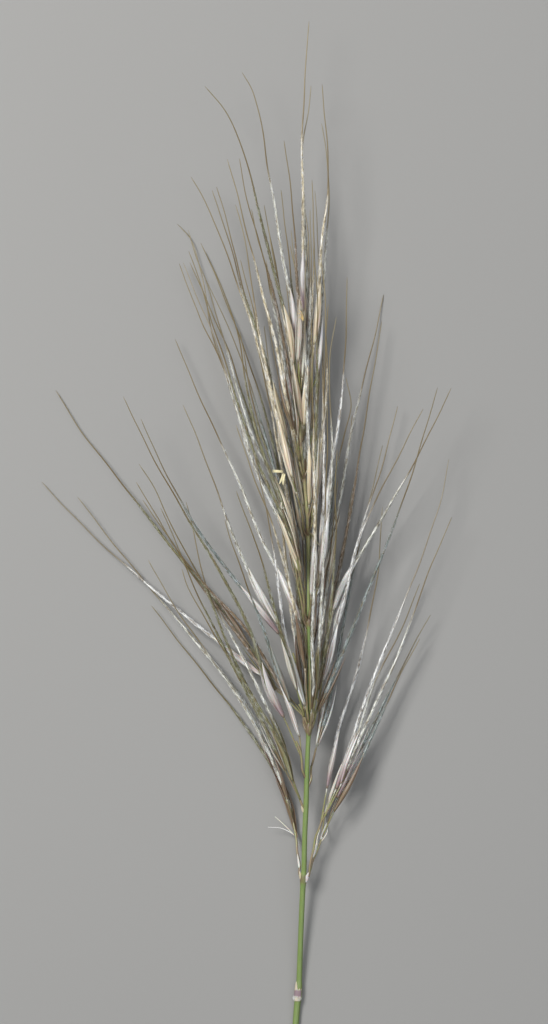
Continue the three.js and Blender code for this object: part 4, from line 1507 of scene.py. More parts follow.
@dataclass(frozen=True)
class HairFinish:
    """Silky hairs, in clumps with painted shade, painted pale glints and painted bluish glints."""

    # The colour of painted shade on the darker clumps of hair
    shade: Colour = (0.09, 0.075, 0.045)
    # The colour of painted glints on the paler clumps of hair
    painted_glint: Colour = (0.93, 0.94, 0.96)
    # The colour of painted bluish glints
    painted_blue_glint: Colour = (0.52, 0.68, 0.92)
    roughness: float = 0.32

    def make(self) -> bpy.types.Material:
        """Makes the material.

        Returns:
            The material.
        """
        recipe = Recipe("silky_hair")
        _, along, tone = recipe.grain()
        pale = recipe.paleness()
        colour = recipe.painted(
            recipe.tint(),
            # Painted shade on the darker clumps, then painted glints and painted bluish glints on paler
            # ones
            (tone.step(0.46, 0.34) * 0.8, self.shade),
            (tone.step(0.56, 0.7) * pale * (along * 0.2 + 0.65), self.painted_glint),
            (tone.step(0.66, 0.7) * tone.step(0.78, 0.74) * pale * 0.4, self.painted_blue_glint),
        )
        return recipe.finish(
            Base_Color=colour,
            Roughness=self.roughness,
            Sheen_Weight=0.3,
            Sheen_Roughness=0.4,
        )


@dataclass(frozen=True)
class CulmFinish:
    """The green stem: fine pale ribs, straw-coloured joints with a purple shade, and a pale pith."""

    green: Colour = (0.12, 0.19, 0.05)
    rib: Colour = (0.24, 0.33, 0.10)
    straw: Colour = (0.40, 0.35, 0.19)
    joint: Colour = (0.17, 0.12, 0.07)
    blush: Colour = (0.16, 0.08, 0.08)
    pith: Colour = (0.72, 0.72, 0.55)
    ribs: float = 11.0
    relief: float = 0.0001
    roughness: float = 0.42

    def make(self) -> bpy.types.Material:
        """Makes the material, whose tone is 1 at a joint and 2 on the cut face.

        Returns:
            The material.
        """
        recipe = Recipe("green_culm")
        around, along, tone = recipe.grain()
        cloud = recipe.noise(1.0, 3.0, (around * 1.6, along * 60, 0.0))
        fine = recipe.noise(1.0, 2.0, (around * 18, along * 25, 3.0))
        rib = (around * (self.ribs * math.pi)).wave()
        joint = (tone + cloud * 0.35).step(0.45, 0.95)
        colour = recipe.painted(
            self.green,
            (rib * 0.5 + cloud * 0.4, self.rib),
            (fine.step(0.5, 0.75) * 0.2, self.joint),
            ((along + cloud * 0.1).step(0.62, 0.88) * 0.85, self.straw),
            (joint * 0.85, self.joint),
            (joint * cloud.step(0.45, 0.65) * 0.7, self.blush),
            (tone.step(1.3, 1.7), self.pith),
        )
        return recipe.finish(
            Base_Color=colour,
            Roughness=cloud * 0.2 + (self.roughness - 0.1),
            Normal=recipe.bump(rib * 0.7 + fine * 0.5, 0.5, self.relief),
            Coat_Weight=0.2,
            Coat_Roughness=0.3,
            Subsurface_Weight=0.1,
            Subsurface_Scale=0.0008,
        )


@dataclass(frozen=True)
class ScaleFinish:
    """Dry papery scales and the remains of the sheath, with a purple band where the tone asks."""

    band: Colour = (0.19, 0.11, 0.17)
    shade: Colour = (0.36, 0.29, 0.18)
    relief: float = 0.0001
    roughness: float = 0.5

    def make(self) -> bpy.types.Material:
        """Makes the material.

        Returns:
            The material.
        """
        recipe = Recipe("dry_scale")
        across, along, tone = recipe.grain()
        streak = recipe.noise(1.0, 3.0, (across * 6, along * 1.6, tone * 29))
        worn = along + (streak - 0.5) * 0.2
        band = worn.step(0.2, 0.3) * worn.step(0.62, 0.54) * tone.step(0.9, 1.0)
        dirt = streak.step(0.4, 0.75) * 0.5
        colour = recipe.painted(recipe.tint(), (dirt, self.shade), (band * 0.8, self.band))
        return recipe.finish(
            Base_Color=colour,
            Roughness=streak * 0.2 + (self.roughness - 0.1),
            Normal=recipe.bump(streak, 0.5, self.relief),
            Subsurface_Weight=0.15,
            Subsurface_Scale=0.0006,
        )


@dataclass(frozen=True)
class AntherFinish:
    """Mealy, pale yellow pollen sacs."""

    pale: Colour = (0.80, 0.76, 0.52)
    deep: Colour = (0.62, 0.55, 0.32)
    grains: float = 6000.0
    relief: float = 0.00008
    roughness: float = 0.7

    def make(self) -> bpy.types.Material:
        """Makes the material.

        Returns:
            The material.
        """
        recipe = Recipe("anther")
        meal = recipe.noise(self.grains, 3.0)
        colour = recipe.painted(self.deep, (meal.step(0.35, 0.75), self.pale))
        relief = recipe.bump(meal, 0.6, self.relief)
        return recipe.finish(Base_Color=colour, Roughness=self.roughness, Normal=relief)


@dataclass(frozen=True)
class FloorFinish:
    """A plain pale floor."""

    pale: Colour = (0.262, 0.262, 0.258)
    lighter: Colour = (0.282, 0.282, 0.278)
    clouds: float = 4.0
    roughness: float = 0.85

    def make(self) -> bpy.types.Material:
        """Makes the material.

        Returns:
            The material.
        """
        recipe = Recipe("floor")
        colour = recipe.painted(self.pale, (recipe.noise(self.clouds), self.lighter))
        return recipe.finish(Base_Color=colour, Roughness=self.roughness)


@dataclass
class Culm:
    """The stem from its cut end to its top, ribbed, with a swelling at each joint."""

    layout: Layout
    sides: int = 44
    steps: int = 260
    rib: float = 0.018
    ribs: int = 22
    wall: float = 0.34
    wall_step: float = 0.04
    pit: float = 0.004
    pit_reach: float = 1.5
    at_cut: float = 1e-6
    cut_back: float = 0.0002
    joint_width: float = 7.0
    joints: tuple[tuple[float, float], ...] = (
        (992, 0.5), (881, 0.6), (807, 0.35), (729, 1.0), (621, 1.0), (531, 0.6), (478, 0.6), (440, 0.5),
    )

    def shape(self) -> bmesh.types.BMesh:
        """The rod, with a pit in the end that was cut.

        Returns:
            The upright rod.
        """
        shape = rod_shape(self.sides, self.steps)
        cut = [face for face in shape.faces if all(vert.co.z < self.at_cut for vert in face.verts)]
        bmesh.ops.inset_region(shape, faces=cut, thickness=self.wall)
        bmesh.ops.inset_region(shape, faces=cut, thickness=self.wall_step)
        bmesh.ops.translate(shape, verts=cut[0].verts, vec=(0, 0, self.pit))
        return shape

    def build(self) -> None:
        """Builds the piece and dresses it."""
        template = Template(self.shape(), "culm_shape")
        curve = stem_curve()
        marks = np.interp(np.linspace(0, 1, len(STEM)), curve.marks, curve.lengths) / curve.length
        x, y, share = template.places.T
        share = np.maximum(share, self.cut_back)
        index = np.clip(np.searchsorted(marks, share, side="right") - 1, 0, len(STEM) - 2)
        part = smooth(0, 1, (share - marks[index]) / (marks[index + 1] - marks[index]))
        radii = np.array([ring.radius for ring in STEM])
        radius = radii[index] * (1 - part) + radii[index + 1] * part
        angle = np.arctan2(y, x)
        ribbed = radius * (1 + self.rib * (np.cos(self.ribs * angle) - 1))
        places = lay(curve, share, x * ribbed, y * ribbed)
        row = ORIGIN[1] - places[:, 1] / MM_PER_PIXEL
        swell = [k * np.exp(-(((row - at) / self.joint_width) ** 2)) for at, k in self.joints]
        on_cut = (share < self.pit * self.pit_reach) & (np.hypot(x, y) < 1 - self.wall / 2)
        bunch = Bunch("culm_fine")
        tone = np.where(on_cut, 2.0, np.max(swell, axis=0))
        bunch.add(template, places, grained(around_rod(template), share, tone), CulmFinish.green)
        piece = bunch.build(CulmFinish().make())
        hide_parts("culm")


@dataclass
class Shapes:
    """The templates that every spray repeats."""

    husk_cuts: tuple[int, int] = (8, 20)
    floret_cuts: tuple[int, int] = (6, 6)
    awn_cuts: tuple[int, int] = (8, 118)
    stalk_cuts: tuple[int, int] = (8, 30)

    def __post_init__(self) -> None:
        """Makes the templates."""
        self.husks = {
            1: Template(blade_shape(*self.husk_cuts, left_handed=True), "husk_right"),
            -1: Template(blade_shape(*self.husk_cuts, left_handed=False), "husk_left"),
        }
        self.floret = Template(rod_shape(*self.floret_cuts), "floret")
        self.awn = Template(rod_shape(*self.awn_cuts), "awn")
        self.stalk = Template(rod_shape(*self.stalk_cuts), "stalk")
        self.spike = Template(spike_shape(), "spike")


@dataclass
class Husk:
    """The two husks of a spikelet: boat-shaped blades that gape to both sides of the awn."""

    length: float = 18.0
    shorter: float = 0.92
    broader: float = 1.35
    thickness: float = 0.11
    ridge: float = 0.035
    wrap: float = 1.25
    places: tuple[float, ...] = (0, 0.08, 0.2, 0.38, 0.6, 0.8, 0.93, 1)
    half_widths: tuple[float, ...] = (0.32, 0.5, 0.72, 0.86, 0.72, 0.42, 0.2, 0.05)
    keels: tuple[float, ...] = (0.36, 0.56, 0.84, 1.24, 1.34, 1.34, 1.3, 1.22)
    length_play: tuple[float, float] = (0.93, 0.07)
    width_play: tuple[float, float] = (0.9, 0.2)
    keel_play: float = 0.18
    unwrap: float = 0.35
    ridge_waves: float = 4.0
    thin_tip: float = 0.5
    thin_edge: float = 0.5
    bow: float = 0.25
    twist: float = 0.25

    def lay(self, template: Template, spikelet: Spikelet, hand: int, random: Seeded) -> Array:
        """Lays one husk along its spikelet.

        Args:
            template: The slab to shape.
            spikelet: The spikelet.
            hand: 1 for the husk on the right of the awn and -1 for the one on its left.
            random: The seeded numbers.

        Returns:
            The place of each vertex.
        """
        across, along, layer = template.places.T
        length = self.length * (1 if hand > 0 else self.shorter) * random.spread(*self.length_play)
        half = np.interp(along, self.places, self.half_widths) * random.spread(*self.width_play)
        if spikelet.back_up and hand > 0:
            half = half * self.broader
        keel = np.interp(along, self.places, self.keels) * (1 - self.keel_play * random() * along)
        wrap = self.wrap * (1 - self.unwrap * along)
        radius = half / wrap
        ridges = self.ridge * np.cos(across * math.pi * self.ridge_waves) * (layer > -0.5) * (1 - along)
        wall = self.thickness * (1 - self.thin_tip * along) * (1 - self.thin_edge * across**2)
        reach = radius + ridges + layer * wall
        outward = keel - radius + reach * np.cos(across * wrap)
        lift = reach * np.sin(across * wrap)
        bow = self.bow * random.signed() * np.sin(math.pi * along)
        share = spikelet.base_share + along * length / spikelet.curve.length
        turn = spikelet.roll + self.twist * random.signed() * along
        return lay(spikelet.curve, share, hand * outward, lift + bow, turn)


@dataclass
class Awn:
    """One awn: a pedicel, a twisted column out of the floret's top and a finer bristle."""

    floret: float = 7.5
    column_end: float = 0.6
    column_spread: float = 0.05
    pitch: float = 4.6
    groove: float = 0.16
    sway: float = 0.1
    stops: tuple[float, ...] = (0, 0.07, 0.14, 0.8, 1)
    radii: tuple[float, ...] = (0.2, 0.2, 0.46, 0.36, 0.19, 0.11)
    soften: tuple[float, float] = (0.01, 0.02)
    tip_from: float = 0.985
    tip: float = 0.35
    sway_in: tuple[float, float] = (0.2, 0.7)
    sway_out: tuple[float, float] = (1.02, 0.85)
    side_wave: float = 3.1
    lift_wave: float = 4.3

    def lay(
        self, template: Template, spikelet: Spikelet, end: float, random: Seeded
    ) -> tuple[Array, Array]:
        """Lays one awn along its spikelet's curve.

        Args:
            template: The rod to shape.
            spikelet: The spikelet.
            end: The share of the curve where the column ends.
            random: The seeded numbers.

        Returns:
            The place of each vertex, and the part along the awn: the pedicel is 0 to 1, the
            column is 1 to 2 and the bristle is 2 to 3.
        """
        x, y, height = template.places.T
        total = spikelet.curve.length
        top = spikelet.base_share + self.floret / total
        share = np.interp(height, self.stops, (0, spikelet.base_share, top, end, 1))
        near, far = self.soften
        marks = (0, spikelet.base_share, top, (top + 2 * end) / 3, end + far, self.tip_from)
        radius = np.interp(share, marks, self.radii)
        radius = radius * np.interp(share, (self.tip_from, 1), (1, self.tip))
        distance = (share - spikelet.base_share) * total
        twisted = smooth(top - near, top + far, share) * smooth(end + near, end - far, share)
        turn = np.arctan2(y, x) - 2 * math.pi * distance / self.pitch
        radius = radius * (1 + self.groove * twisted * (np.cos(2 * turn) - 0.5))
        phase, other = 2 * math.pi * random(), 2 * math.pi * random()
        swing = self.sway * smooth(*self.sway_in, share) * smooth(*self.sway_out, share)
        off_side = swing * np.sin(distance / self.side_wave + phase)
        off_lift = swing * np.sin(distance / self.lift_wave + other)
        places = lay(spikelet.curve, share, x * radius + off_side, y * radius + off_lift)
        part = np.interp(share, (0, spikelet.base_share, end, 1), (0, 1, 2, 3))
        return places, part


@dataclass
class Hairs:
    """The silky hairs that stand out of an awn's column, longest near the floret."""

    per_mm: float = 32.0
    begin: float = 5.5
    foot: float = 0.036
    long: float = 1.35
    short: float = 0.85
    last: float = 0.2
    lowest: float = 0.06
    highest: float = 0.5
    bend: float = 0.08
    seats: tuple[float, float] = (0.4, 0.26)
    strand: float = 7.0
    strand_weight: float = 0.42
    clump: float = 0.9
    clump_weight: float = 0.44
    own_weight: float = 0.14
    sectors: int = 5
    shorter_from: float = 0.75
    length_play: tuple[float, float] = (0.65, 0.5)
    thick_play: tuple[float, float] = (0.7, 0.6)

    def lay(
        self, template: Template, spikelet: Spikelet, end: float, rng: np.random.Generator
    ) -> tuple[Array, Array, Array]:
        """Plants the hairs of one column.

        Args:
            template: The spike.
            spikelet: The spikelet.
            end: The share of the curve where the column ends.
            rng: The seeded draws.

        Returns:
            The places of the vertices of every hair, how far along its hair each vertex lies, and
            the tone of each hair, which hairs of one clump nearly share.
        """
        total = spikelet.curve.length
        begin = spikelet.base_share + self.begin / total
        count = int(self.per_mm * (end - begin) * total)
        step = np.sort(rng.random(count))
        share = begin + (end - begin) * step
        point, along, side, over = spikelet.curve.frames(share)
        angle = rng.random(count) * 2 * math.pi
        out = side * np.cos(angle)[:, None] + over * np.sin(angle)[:, None]
        rise = self.lowest + (self.highest - self.lowest) * rng.random(count)
        length = np.interp(step, (0, self.shorter_from, 1), (self.long, self.short, self.last))
        length *= self.length_play[0] + self.length_play[1] * rng.random(count)
        way = along * np.cos(rise)[:, None] + out * np.sin(rise)[:, None]
        first = np.cross(along, out)
        second = np.cross(way, first)
        root = point + out * np.interp(step, (0, 1), self.seats)[:, None]
        x, y, z = template.places.T
        thick = self.foot * (self.thick_play[0] + self.thick_play[1] * rng.random(count))[:, None]
        length = length[:, None]
        sag = self.bend * length * z**2
        places = planted(root, (way, length * z), (-out, sag), (first, thick * x), (second, thick * y))
        sector = (angle * self.sectors / (2 * math.pi)).astype(int)
        # The tone groups hairs in clumps along and round the column, and the hair finish paints shade on
        # the lower tones and glints on the higher
        tone = self.own_weight * rng.random(count)
        for size, weight in ((self.strand, self.strand_weight), (self.clump, self.clump_weight)):
            stretch = ((share - begin) * total / size).astype(int)
            tone += weight * rng.random((stretch.max() + 1, self.sectors + 1))[stretch, sector]
        return places, z, tone


@dataclass
class Spray:
    """One primary branch: its husks, its stalk and awns, and the hairs of its columns."""

    laid: LaidBranch
    shapes: Shapes
    finishes: dict[str, bpy.types.Material]
    husk: Husk
    awn: Awn
    hairs: Hairs
    number: int
    stalk_radii: tuple[float, float] = (0.34, 0.25)
    stalk_part: float = 0.6
    thread_share: float = 0.55
    thread_rise: float = 0.3
    thread_radii: tuple[float, float] = (0.17, 0.07)
    thread_grain: tuple[float, float] = (1.4, 0.3)
    floret_marks: tuple[float, ...] = (0, 0.3, 0.7, 1)
    floret_radii: tuple[float, ...] = (0.2, 0.4, 0.38, 0.24)
    shade_play: tuple[float, float] = (0.85, 0.3)
    seed: int = 1000

    def build(self) -> None:
        """Builds the pieces and dresses them."""
        random = Seeded(self.seed + self.number)
        rng = np.random.default_rng(self.number)
        name = self.laid.branch.name
        husks, awns, hairs = (Bunch(f"{name}_{word}") for word in ("husks", "awns", "hairs"))
        self.add_stalk(awns, random())
        for spikelet in self.laid.spikelets:
            self.add_husks(husks, spikelet, random)
            spread = self.awn.column_spread * random.signed()
            end = spikelet.base_share + (1 - spikelet.base_share) * (self.awn.column_end + spread)
            places, part = self.awn.lay(self.shapes.awn, spikelet, end, random)
            dye = DYES[spikelet.awn]
            grain = grained(around_rod(self.shapes.awn), part, random())
            awns.add(self.shapes.awn, places, grain, dye.rod)
            places, part, tone = self.hairs.lay(self.shapes.spike, spikelet, end, rng)
            hairs.add(self.shapes.spike, places, grained(0.0, part, tone[:, None]), dye.hair)
        if self.laid.branch.thread:
            self.add_thread(awns)
        for bunch, slot in ((husks, "glumes"), (awns, "awns"), (hairs, "hairs")):
            piece = bunch.build(self.finishes[slot])
            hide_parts(self.laid.branch.name)

    def add_stalk(self, awns: Bunch, tone: float) -> None:
        """Adds the stalk that the pedicels part from.

        Args:
            awns: The bunch of stalks and awns.
            tone: The stalk's tone.
        """
        stalk = self.shapes.stalk
        places = lay_rod(Curve(self.laid.stalk), stalk, self.stalk_radii)
        grain = grained(around_rod(stalk), stalk.places[:, 2] * self.stalk_part, tone)
        awns.add(stalk, places, grain, DYES[Tint.OLIVE].rod)

    def add_husks(self, husks: Bunch, spikelet: Spikelet, random: Seeded) -> None:
        """Adds a spikelet's two husks and the floret between them.

        Args:
            husks: The bunch of husks.
            spikelet: The spikelet.
            random: The seeded numbers.
        """
        dye = DYES[spikelet.husk]
        for hand, template in self.shapes.husks.items():
            across, along, _ = template.places.T
            places = self.husk.lay(template, spikelet, hand, random)
            tone = random() + (2 if spikelet.husk is Tint.MAUVE else 0)
            shade = random.spread(*self.shade_play)
            husks.add(template, places, grained(across, along, tone), np.array(dye.husk) * shade)
        template = self.shapes.floret
        x, y, height = template.places.T
        radius = np.interp(height, self.floret_marks, self.floret_radii)
        share = spikelet.base_share + height * self.awn.floret / spikelet.curve.length
        places = lay(spikelet.curve, share, x * radius, y * radius)
        husks.add(template, places, grained(x * 0.4, 0.3 + 0.3 * height, 0.0), DYES[Tint.BROWN].husk)

    def add_thread(self, awns: Bunch) -> None:
        """Adds the dry curled thread that hangs by this branch.

        Args:
            awns: The bunch of stalks and awns.
        """
        start = self.laid.stalk[nearest((len(self.laid.stalk) - 1) * self.thread_share)]
        points = placed(self.laid.branch.thread)
        points[:, 2] = start[2] + np.arange(len(points)) * self.thread_rise
        places = lay_rod(Curve(points), self.shapes.stalk, self.thread_radii)
        grain = grained(around_rod(self.shapes.stalk), *self.thread_grain)
        awns.add(self.shapes.stalk, places, grain, DYES[Tint.WHITE].hair)


@dataclass(frozen=True)
class Flap:
    """A dry scale: its foot and tip in the photograph, its sizes in millimetres and its colour.

    It starts at a height over the centre line of what carries it and its tip rises from there.
    """

    name: str
    foot: Pixel
    tip: Pixel
    width: float
    over: float
    rise: float
    colour: Colour


@dataclass
class Scales:
    """The small bracts and membranes at the joints and forks."""

    layout: Layout
    white: Colour = (0.74, 0.73, 0.71)
    lilac: Colour = (0.62, 0.56, 0.58)
    cream: Colour = (0.50, 0.44, 0.32)
    orange: Colour = (0.50, 0.30, 0.13)
    thickness: float = 0.09
    width_marks: tuple[float, ...] = (0, 0.15, 0.5, 0.85, 1)
    widths: tuple[float, ...] = (0.6, 1, 0.9, 0.5, 0.12)
    middle_rise: float = 0.4
    cup: float = 0.35
    tone: float = 0.2
    cuts: tuple[int, int] = (10, 16)

    def flaps(self) -> tuple[Flap, ...]:
        """The scales, from the lowest up.

        Returns:
            The scales.
        """
        return (
            Flap("bract_low_joint", (305.0, 883), (308.8, 873), 1.15, 0.8, 0.3, self.lilac),
            Flap("bract_low_joint_left", (301.5, 880), (299.5, 872), 1.0, 0.45, 0.1, self.cream),
            Flap("bract_second_joint", (304.2, 812.5), (301.5, 806), 1.0, 0.5, 0.1, self.cream),
            Flap("membrane_right_stalk", (313.0, 858), (318.0, 841), 1.0, 0.3, 0.1, self.white),
            Flap("membrane_right_fork", (321.0, 840), (327.0, 823), 0.8, 0.3, 0.1, self.white),
            Flap("membrane_left_stalk", (299.6, 869), (297.6, 855), 0.6, 0.35, 0.0, self.white),
            Flap("membrane_left_fork", (296.6, 839), (295.4, 831), 0.7, 0.3, 0.1, self.orange),
        )

    def build(self, material: bpy.types.Material) -> None:
        """Builds each scale as a piece of its own.

        Args:
            material: The scales' finish.
        """
        template = Template(blade_shape(*self.cuts, left_handed=False), "scale_shape")
        across, along, layer = template.places.T
        grain = grained(across, along, self.tone)
        width = np.interp(along, self.width_marks, self.widths)
        for flap in self.flaps():
            foot, tip = placed((flap.foot, flap.tip))
            foot[2] = self.layout.height_near(foot) + flap.over
            tip[2] = foot[2] + flap.rise
            middle = (foot + tip) / 2 + (0, 0, flap.rise * self.middle_rise)
            half = flap.width / 2 * width
            lift = layer * self.thickness - self.cup * half * across**2
            places = lay(Curve(np.array([foot, middle, tip])), along, across * half, lift)
            bunch = Bunch(flap.name)
            bunch.add(template, places, grain, flap.colour)
            bunch.build(material)


@dataclass(frozen=True)
class Curl:
    """A dry curled remnant: its name, its colour and the routes of its threads in the photograph."""

    name: str
    colour: Colour
    threads: tuple[tuple[Pixel, ...], ...]


@dataclass
class Curls:
    """The small dry remnants that cling to the spikelets."""

    layout: Layout
    golden: Colour = (0.62, 0.45, 0.18)
    pale: Colour = (0.80, 0.76, 0.66)
    radii: tuple[float, float] = (0.16, 0.07)
    clear: float = 0.5
    reach: float = 1.6
    arch: float = 0.3
    tone: float = 0.3
    cuts: tuple[int, int] = (6, 12)

    def curls(self) -> tuple[Curl, ...]:
        """The remnants, from the top down.

        Returns:
            The remnants.
        """
        return (
            Curl("curl_crown", self.golden, (
                ((303.5, 320), (302.5, 316), (300.5, 312), (298.3, 310.5)),
                ((303.3, 321), (301.5, 317), (299.3, 314), (297.6, 314.5)),
                ((303.2, 321.5), (301, 318.5), (299.5, 317.5), (298.6, 319)),
            )),
            Curl("curl_left", self.pale, (
                ((281.5, 502.5), (281, 506), (282, 508.5), (284.2, 507)),
            )),
            Curl("curl_thread", self.pale, (
                ((294.5, 836.5), (290, 831.5), (284, 825.5), (275, 817.5)),
            )),
            Curl("curl_fork", self.pale, (
                ((321.5, 842), (324.5, 838), (327.5, 832), (327, 826)),
                ((316.5, 846), (317.5, 838), (320, 830)),
            )),
        )

    def build(self, material: bpy.types.Material) -> None:
        """Builds each remnant as a piece of its own.

        Args:
            material: The remnants' finish.
        """
        template = Template(rod_shape(*self.cuts), "thread")
        x, _, share = template.places.T
        grain = grained(x * 0.5, share, self.tone)
        for curl in self.curls():
            bunch = Bunch(curl.name)
            for route in curl.threads:
                points = placed(route)
                height = self.layout.height_near(points[0], self.reach) + self.clear
                points[:, 2] = height + self.arch * np.sin(np.linspace(0, math.pi, len(points)))
                bunch.add(template, lay_rod(Curve(points), template, self.radii), grain, curl.colour)
            bunch.build(material)


@dataclass
class Sheath:
    """What is left of a leaf sheath: a ragged half tube round the lowest joint, fringed with hairs."""

    layout: Layout
    low_row: float = 1003.0
    high_row: float = 983.5
    clear: float = 0.03
    thickness: float = 0.08
    half_angle: float = 1.15
    turned: float = 1.9
    flare: float = 0.1
    rim: float = 0.62
    tongue: float = 0.45
    tongue_at: float = 0.55
    tongue_width: float = 0.4
    ripple: float = 0.05
    ripples: float = 9.0
    colour: Colour = (0.58, 0.54, 0.42)
    hairs: int = 110
    hair_length: float = 0.8
    hair_play: tuple[float, float] = (0.4, 0.6)
    hair_radius: float = 0.03
    hairs_from: float = 0.05
    hairs_over: float = 0.2
    hair_aim: tuple[float, float] = (0.05, 4.0)
    stray: float = 0.5
    seed: int = 5
    cuts: tuple[int, int] = (40, 16)

    def edge(self, angle: Array) -> Array:
        """How far up the ragged edge reaches at an angle round the stem.

        Args:
            angle: The angle from the middle of the sheath, in radians.

        Returns:
            The share of the sheath's height.
        """
        tongue = self.tongue * np.exp(-(((angle - self.tongue_at) / self.tongue_width) ** 2))
        return self.rim + tongue + self.ripple * np.sin(angle * self.ripples)

    def build(self, spike: Template, dress: bpy.types.Material, hair: bpy.types.Material) -> None:
        """Builds the sheath and its fringe.

        Args:
            spike: The shape of a hair.
            dress: The sheath's finish.
            hair: The hairs' finish.
        """
        template = Template(blade_shape(*self.cuts), "sheath_shape")
        across, along, layer = template.places.T
        reach = along * self.edge(across * self.half_angle)
        places = self.lay(across * self.half_angle, reach, layer)
        bunch = Bunch("sheath_remains")
        bunch.add(template, places, grained(across, reach, 1.0), self.colour)
        bunch.build(dress)
        rng = np.random.default_rng(self.seed)
        angle = (2 * rng.random(self.hairs) - 1) * self.half_angle
        foot = self.hairs_from + self.hairs_over * rng.random(self.hairs)
        root = self.lay(angle, foot, np.zeros(self.hairs))
        up, out = self.hair_aim
        way = self.lay(angle, foot + up, np.full(self.hairs, out)) - root
        way /= np.linalg.norm(way, axis=1)[:, None]
        way += self.stray * (rng.random((self.hairs, 3)) - 0.5)
        first = np.cross(way, (0, 0, 1.0))
        first /= np.linalg.norm(first, axis=1)[:, None]
        second = np.cross(way, first)
        x, y, z = spike.places.T
        length = self.hair_length * (self.hair_play[0] + self.hair_play[1] * rng.random(self.hairs))
        thick = np.full((self.hairs, 1), self.hair_radius)
        hairs = planted(root, (way, length[:, None] * z), (first, thick * x), (second, thick * y))
        fringe = Bunch("sheath_fringe")
        fringe.add(spike, hairs, grained(0.0, z, 0.5), DYES[Tint.WHITE].hair)
        fringe.build(hair)

    def lay(self, angle: Array, along: Array, layer: Array) -> Array:
        """Places points round the stem.

        Args:
            angle: The angle from the middle of the sheath, in radians.
            along: How far up the sheath, from 0 to 1.
            layer: 0 on the outer face and -1 on the inner.

        Returns:
            The points.
        """
        row = self.low_row + (self.high_row - self.low_row) * along
        centre = np.column_stack([self.layout.stem_value(row, "column"), row])
        flat = (centre - ORIGIN) * (MM_PER_PIXEL, -MM_PER_PIXEL)
        height = self.layout.stem_value(row, "height")
        flare = self.flare * smooth(0.5, 1, along)
        radius = self.layout.stem_value(row, "radius") + self.clear + flare + (1 + layer) * self.thickness
        around = angle + self.turned
        x = flat[:, 0] + radius * np.cos(around)
        z = height + radius * np.sin(around)
        return np.column_stack([x, flat[:, 1], z])


@dataclass
class Anthers:
    """The two anthers that hang out left of the stem, each of two sacs on a thin filament."""

    layout: Layout
    ends: tuple[tuple[Pixel, Pixel], ...] = (
        ((283.0, 471.8), (272.3, 471.2)),
        ((284.2, 473.5), (281.2, 484.5)),
    )
    splay: tuple[float, float] = (0.1, 0.3)
    sacs: tuple[float, float] = (0.22, 0.33)
    clear: float = 0.5
    reach: float = 1.6
    arch: float = 0.1
    round_ends: tuple[float, float] = (0.03, 0.94)
    blunt: float = 0.6
    apart: float = 0.7
    filament: float = 0.07
    filament_drop: float = 0.4
    filament_run: float = 0.15
    cuts: tuple[int, int] = (12, 14)

    def build(self, material: bpy.types.Material) -> None:
        """Builds each anther with its filament as one piece.

        Args:
            material: The anthers' finish.
        """
        template = Template(rod_shape(*self.cuts), "sac")
        x, y, share = template.places.T
        for number, (ends, splay, sac) in enumerate(zip(self.ends, self.splay, self.sacs), 1):
            foot, tip = placed(ends)
            height = max(self.layout.height_near(place, self.reach) for place in (foot, tip))
            foot[2] = tip[2] = height + self.clear
            middle = (foot + tip) / 2 + (0, 0, self.arch)
            curve = Curve(np.array([foot, middle, tip]))
            bunch = Bunch(f"anther_{number}")
            dome = np.sin(math.pi * (self.round_ends[0] + self.round_ends[1] * share))
            radius = sac * np.clip(dome, 0, 1) ** self.blunt
            spread = self.apart * sac + splay * share**3
            for hand in (1, -1):
                places = lay(curve, share, x * radius + hand * spread, y * radius)
                bunch.add(template, places, template.places, AntherFinish.pale)
            inward = middle - (0, 0, self.clear + self.filament_drop) + self.filament_run * (middle - foot)
            stem = Curve(np.array([middle, (middle + inward) / 2 + (self.arch, 0, 0), inward]))
            places = lay_rod(stem, template, (self.filament, self.filament))
            bunch.add(template, places, template.places, AntherFinish.pale)
            bunch.build(material)


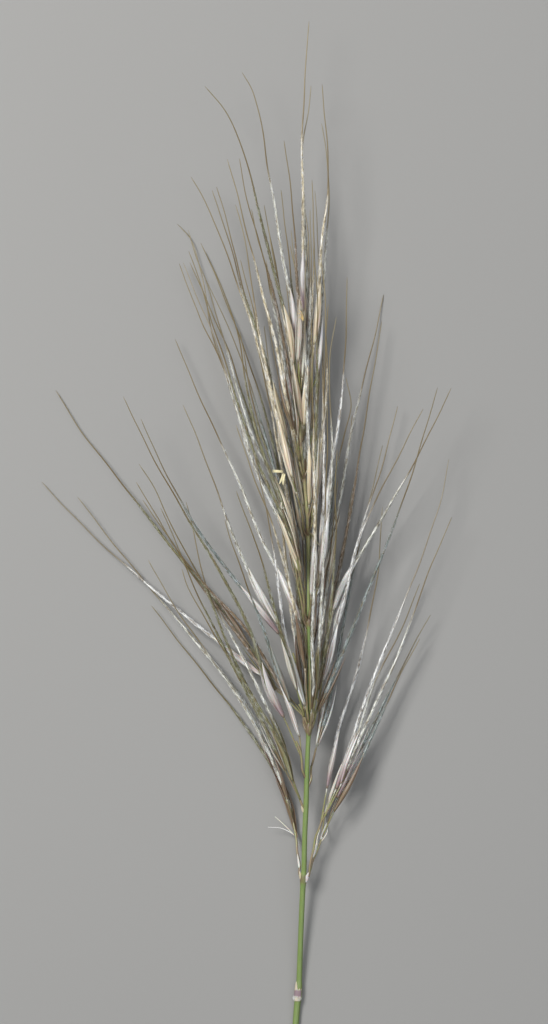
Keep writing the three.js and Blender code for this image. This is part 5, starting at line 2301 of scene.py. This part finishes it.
@dataclass
class Studio:
    """A plain pale floor, soft lights and a camera that looks straight down."""

    floor_radius: float = 4.0
    floor_drop: float = 0.00002
    camera_height: float = 3.0
    looks_at: float = 0.012
    sensor: float = 36.0
    clip_end: float = 50.0
    lights: tuple[Lamp, ...] = (
        ("key", (-0.45, 0.35, 0.85), 0.35, 11.0, (1.0, 0.98, 0.95)),
        ("fill", (0.6, -0.3, 0.9), 0.8, 2.0, (0.94, 0.97, 1.0)),
        ("top", (0.1, 0.1, 1.3), 0.7, 3.8, (1.0, 1.0, 1.0)),
    )
    sky: Colour = (0.80, 0.82, 0.85)
    sky_strength: float = 0.25

    def floor(self) -> None:
        """Lays the floor."""
        shape = bmesh.new()
        bmesh.ops.create_circle(shape, cap_ends=True, segments=96, radius=self.floor_radius)
        bmesh.ops.translate(shape, verts=shape.verts, vec=(0, 0, -self.floor_drop))
        mesh = bpy.data.meshes.new("floor")
        shape.to_mesh(mesh)
        shape.free()
        mesh.materials.append(FloorFinish().make())
        floor = bpy.data.objects.new("floor", mesh)
        bpy.context.collection.objects.link(floor)

    @staticmethod
    def light(name: str, place: Point, size: float, power: float, colour: Colour) -> None:
        """Hangs one soft square light that faces the object.

        Args:
            name: A plain name.
            place: Where it hangs, in metres.
            size: The length of its side in metres.
            power: Its power in watts.
            colour: Its colour.
        """
        data = bpy.data.lights.new(name, "AREA")
        data.size, data.energy, data.color = size, power, colour
        lamp = bpy.data.objects.new(name, data)
        lamp.location = place
        lamp.rotation_euler = (-lamp.location).to_track_quat("-Z", "Y").to_euler()
        lamp.visible_camera = False
        bpy.context.collection.objects.link(lamp)

    def camera(self) -> None:
        """Sets the camera over the middle of the photograph, with its frame's real height."""
        middle = placed(((PHOTO_SIZE[0] / 2, PHOTO_SIZE[1] / 2),))[0] * MM
        data = bpy.data.cameras.new("camera")
        data.sensor_width = self.sensor
        data.lens = self.sensor * self.camera_height / (PHOTO_SIZE[1] * MM_PER_PIXEL * MM)
        data.clip_end = self.clip_end
        camera = bpy.data.objects.new("camera", data)
        camera.location = (middle[0], middle[1], self.looks_at + self.camera_height)
        bpy.context.collection.objects.link(camera)
        bpy.context.scene.camera = camera

    def build(self) -> None:
        """Builds the studio."""
        self.floor()
        for lamp in self.lights:
            self.light(*lamp)
        world = bpy.data.worlds.new("studio")
        world.use_nodes = True
        background = world.node_tree.nodes["Background"]
        background.inputs["Color"].default_value = (*self.sky, 1)
        background.inputs["Strength"].default_value = self.sky_strength
        bpy.context.scene.world = world
        bpy.context.scene.view_settings.view_transform = "Standard"
        self.camera()


def main() -> None:
    """Builds the stem, the sprays, the small pieces and the studio, in that order."""
    logging.basicConfig(level=logging.INFO, format="%(message)s")
    layout = Layout()
    shapes = Shapes()
    finishes = {"glumes": HuskFinish().make(), "awns": AwnFinish().make(), "hairs": HairFinish().make()}
    Culm(layout).build()
    for number, laid in enumerate(layout.branches, 1):
        Spray(laid, shapes, finishes, Husk(), Awn(), Hairs(), number).build()
    scale = ScaleFinish().make()
    Scales(layout).build(scale)
    Curls(layout).build(scale)
    Sheath(layout).build(shapes.spike, scale, finishes["hairs"])
    Anthers(layout).build(AntherFinish().make())
    Studio().build()


if __name__ == "__main__":
    main()
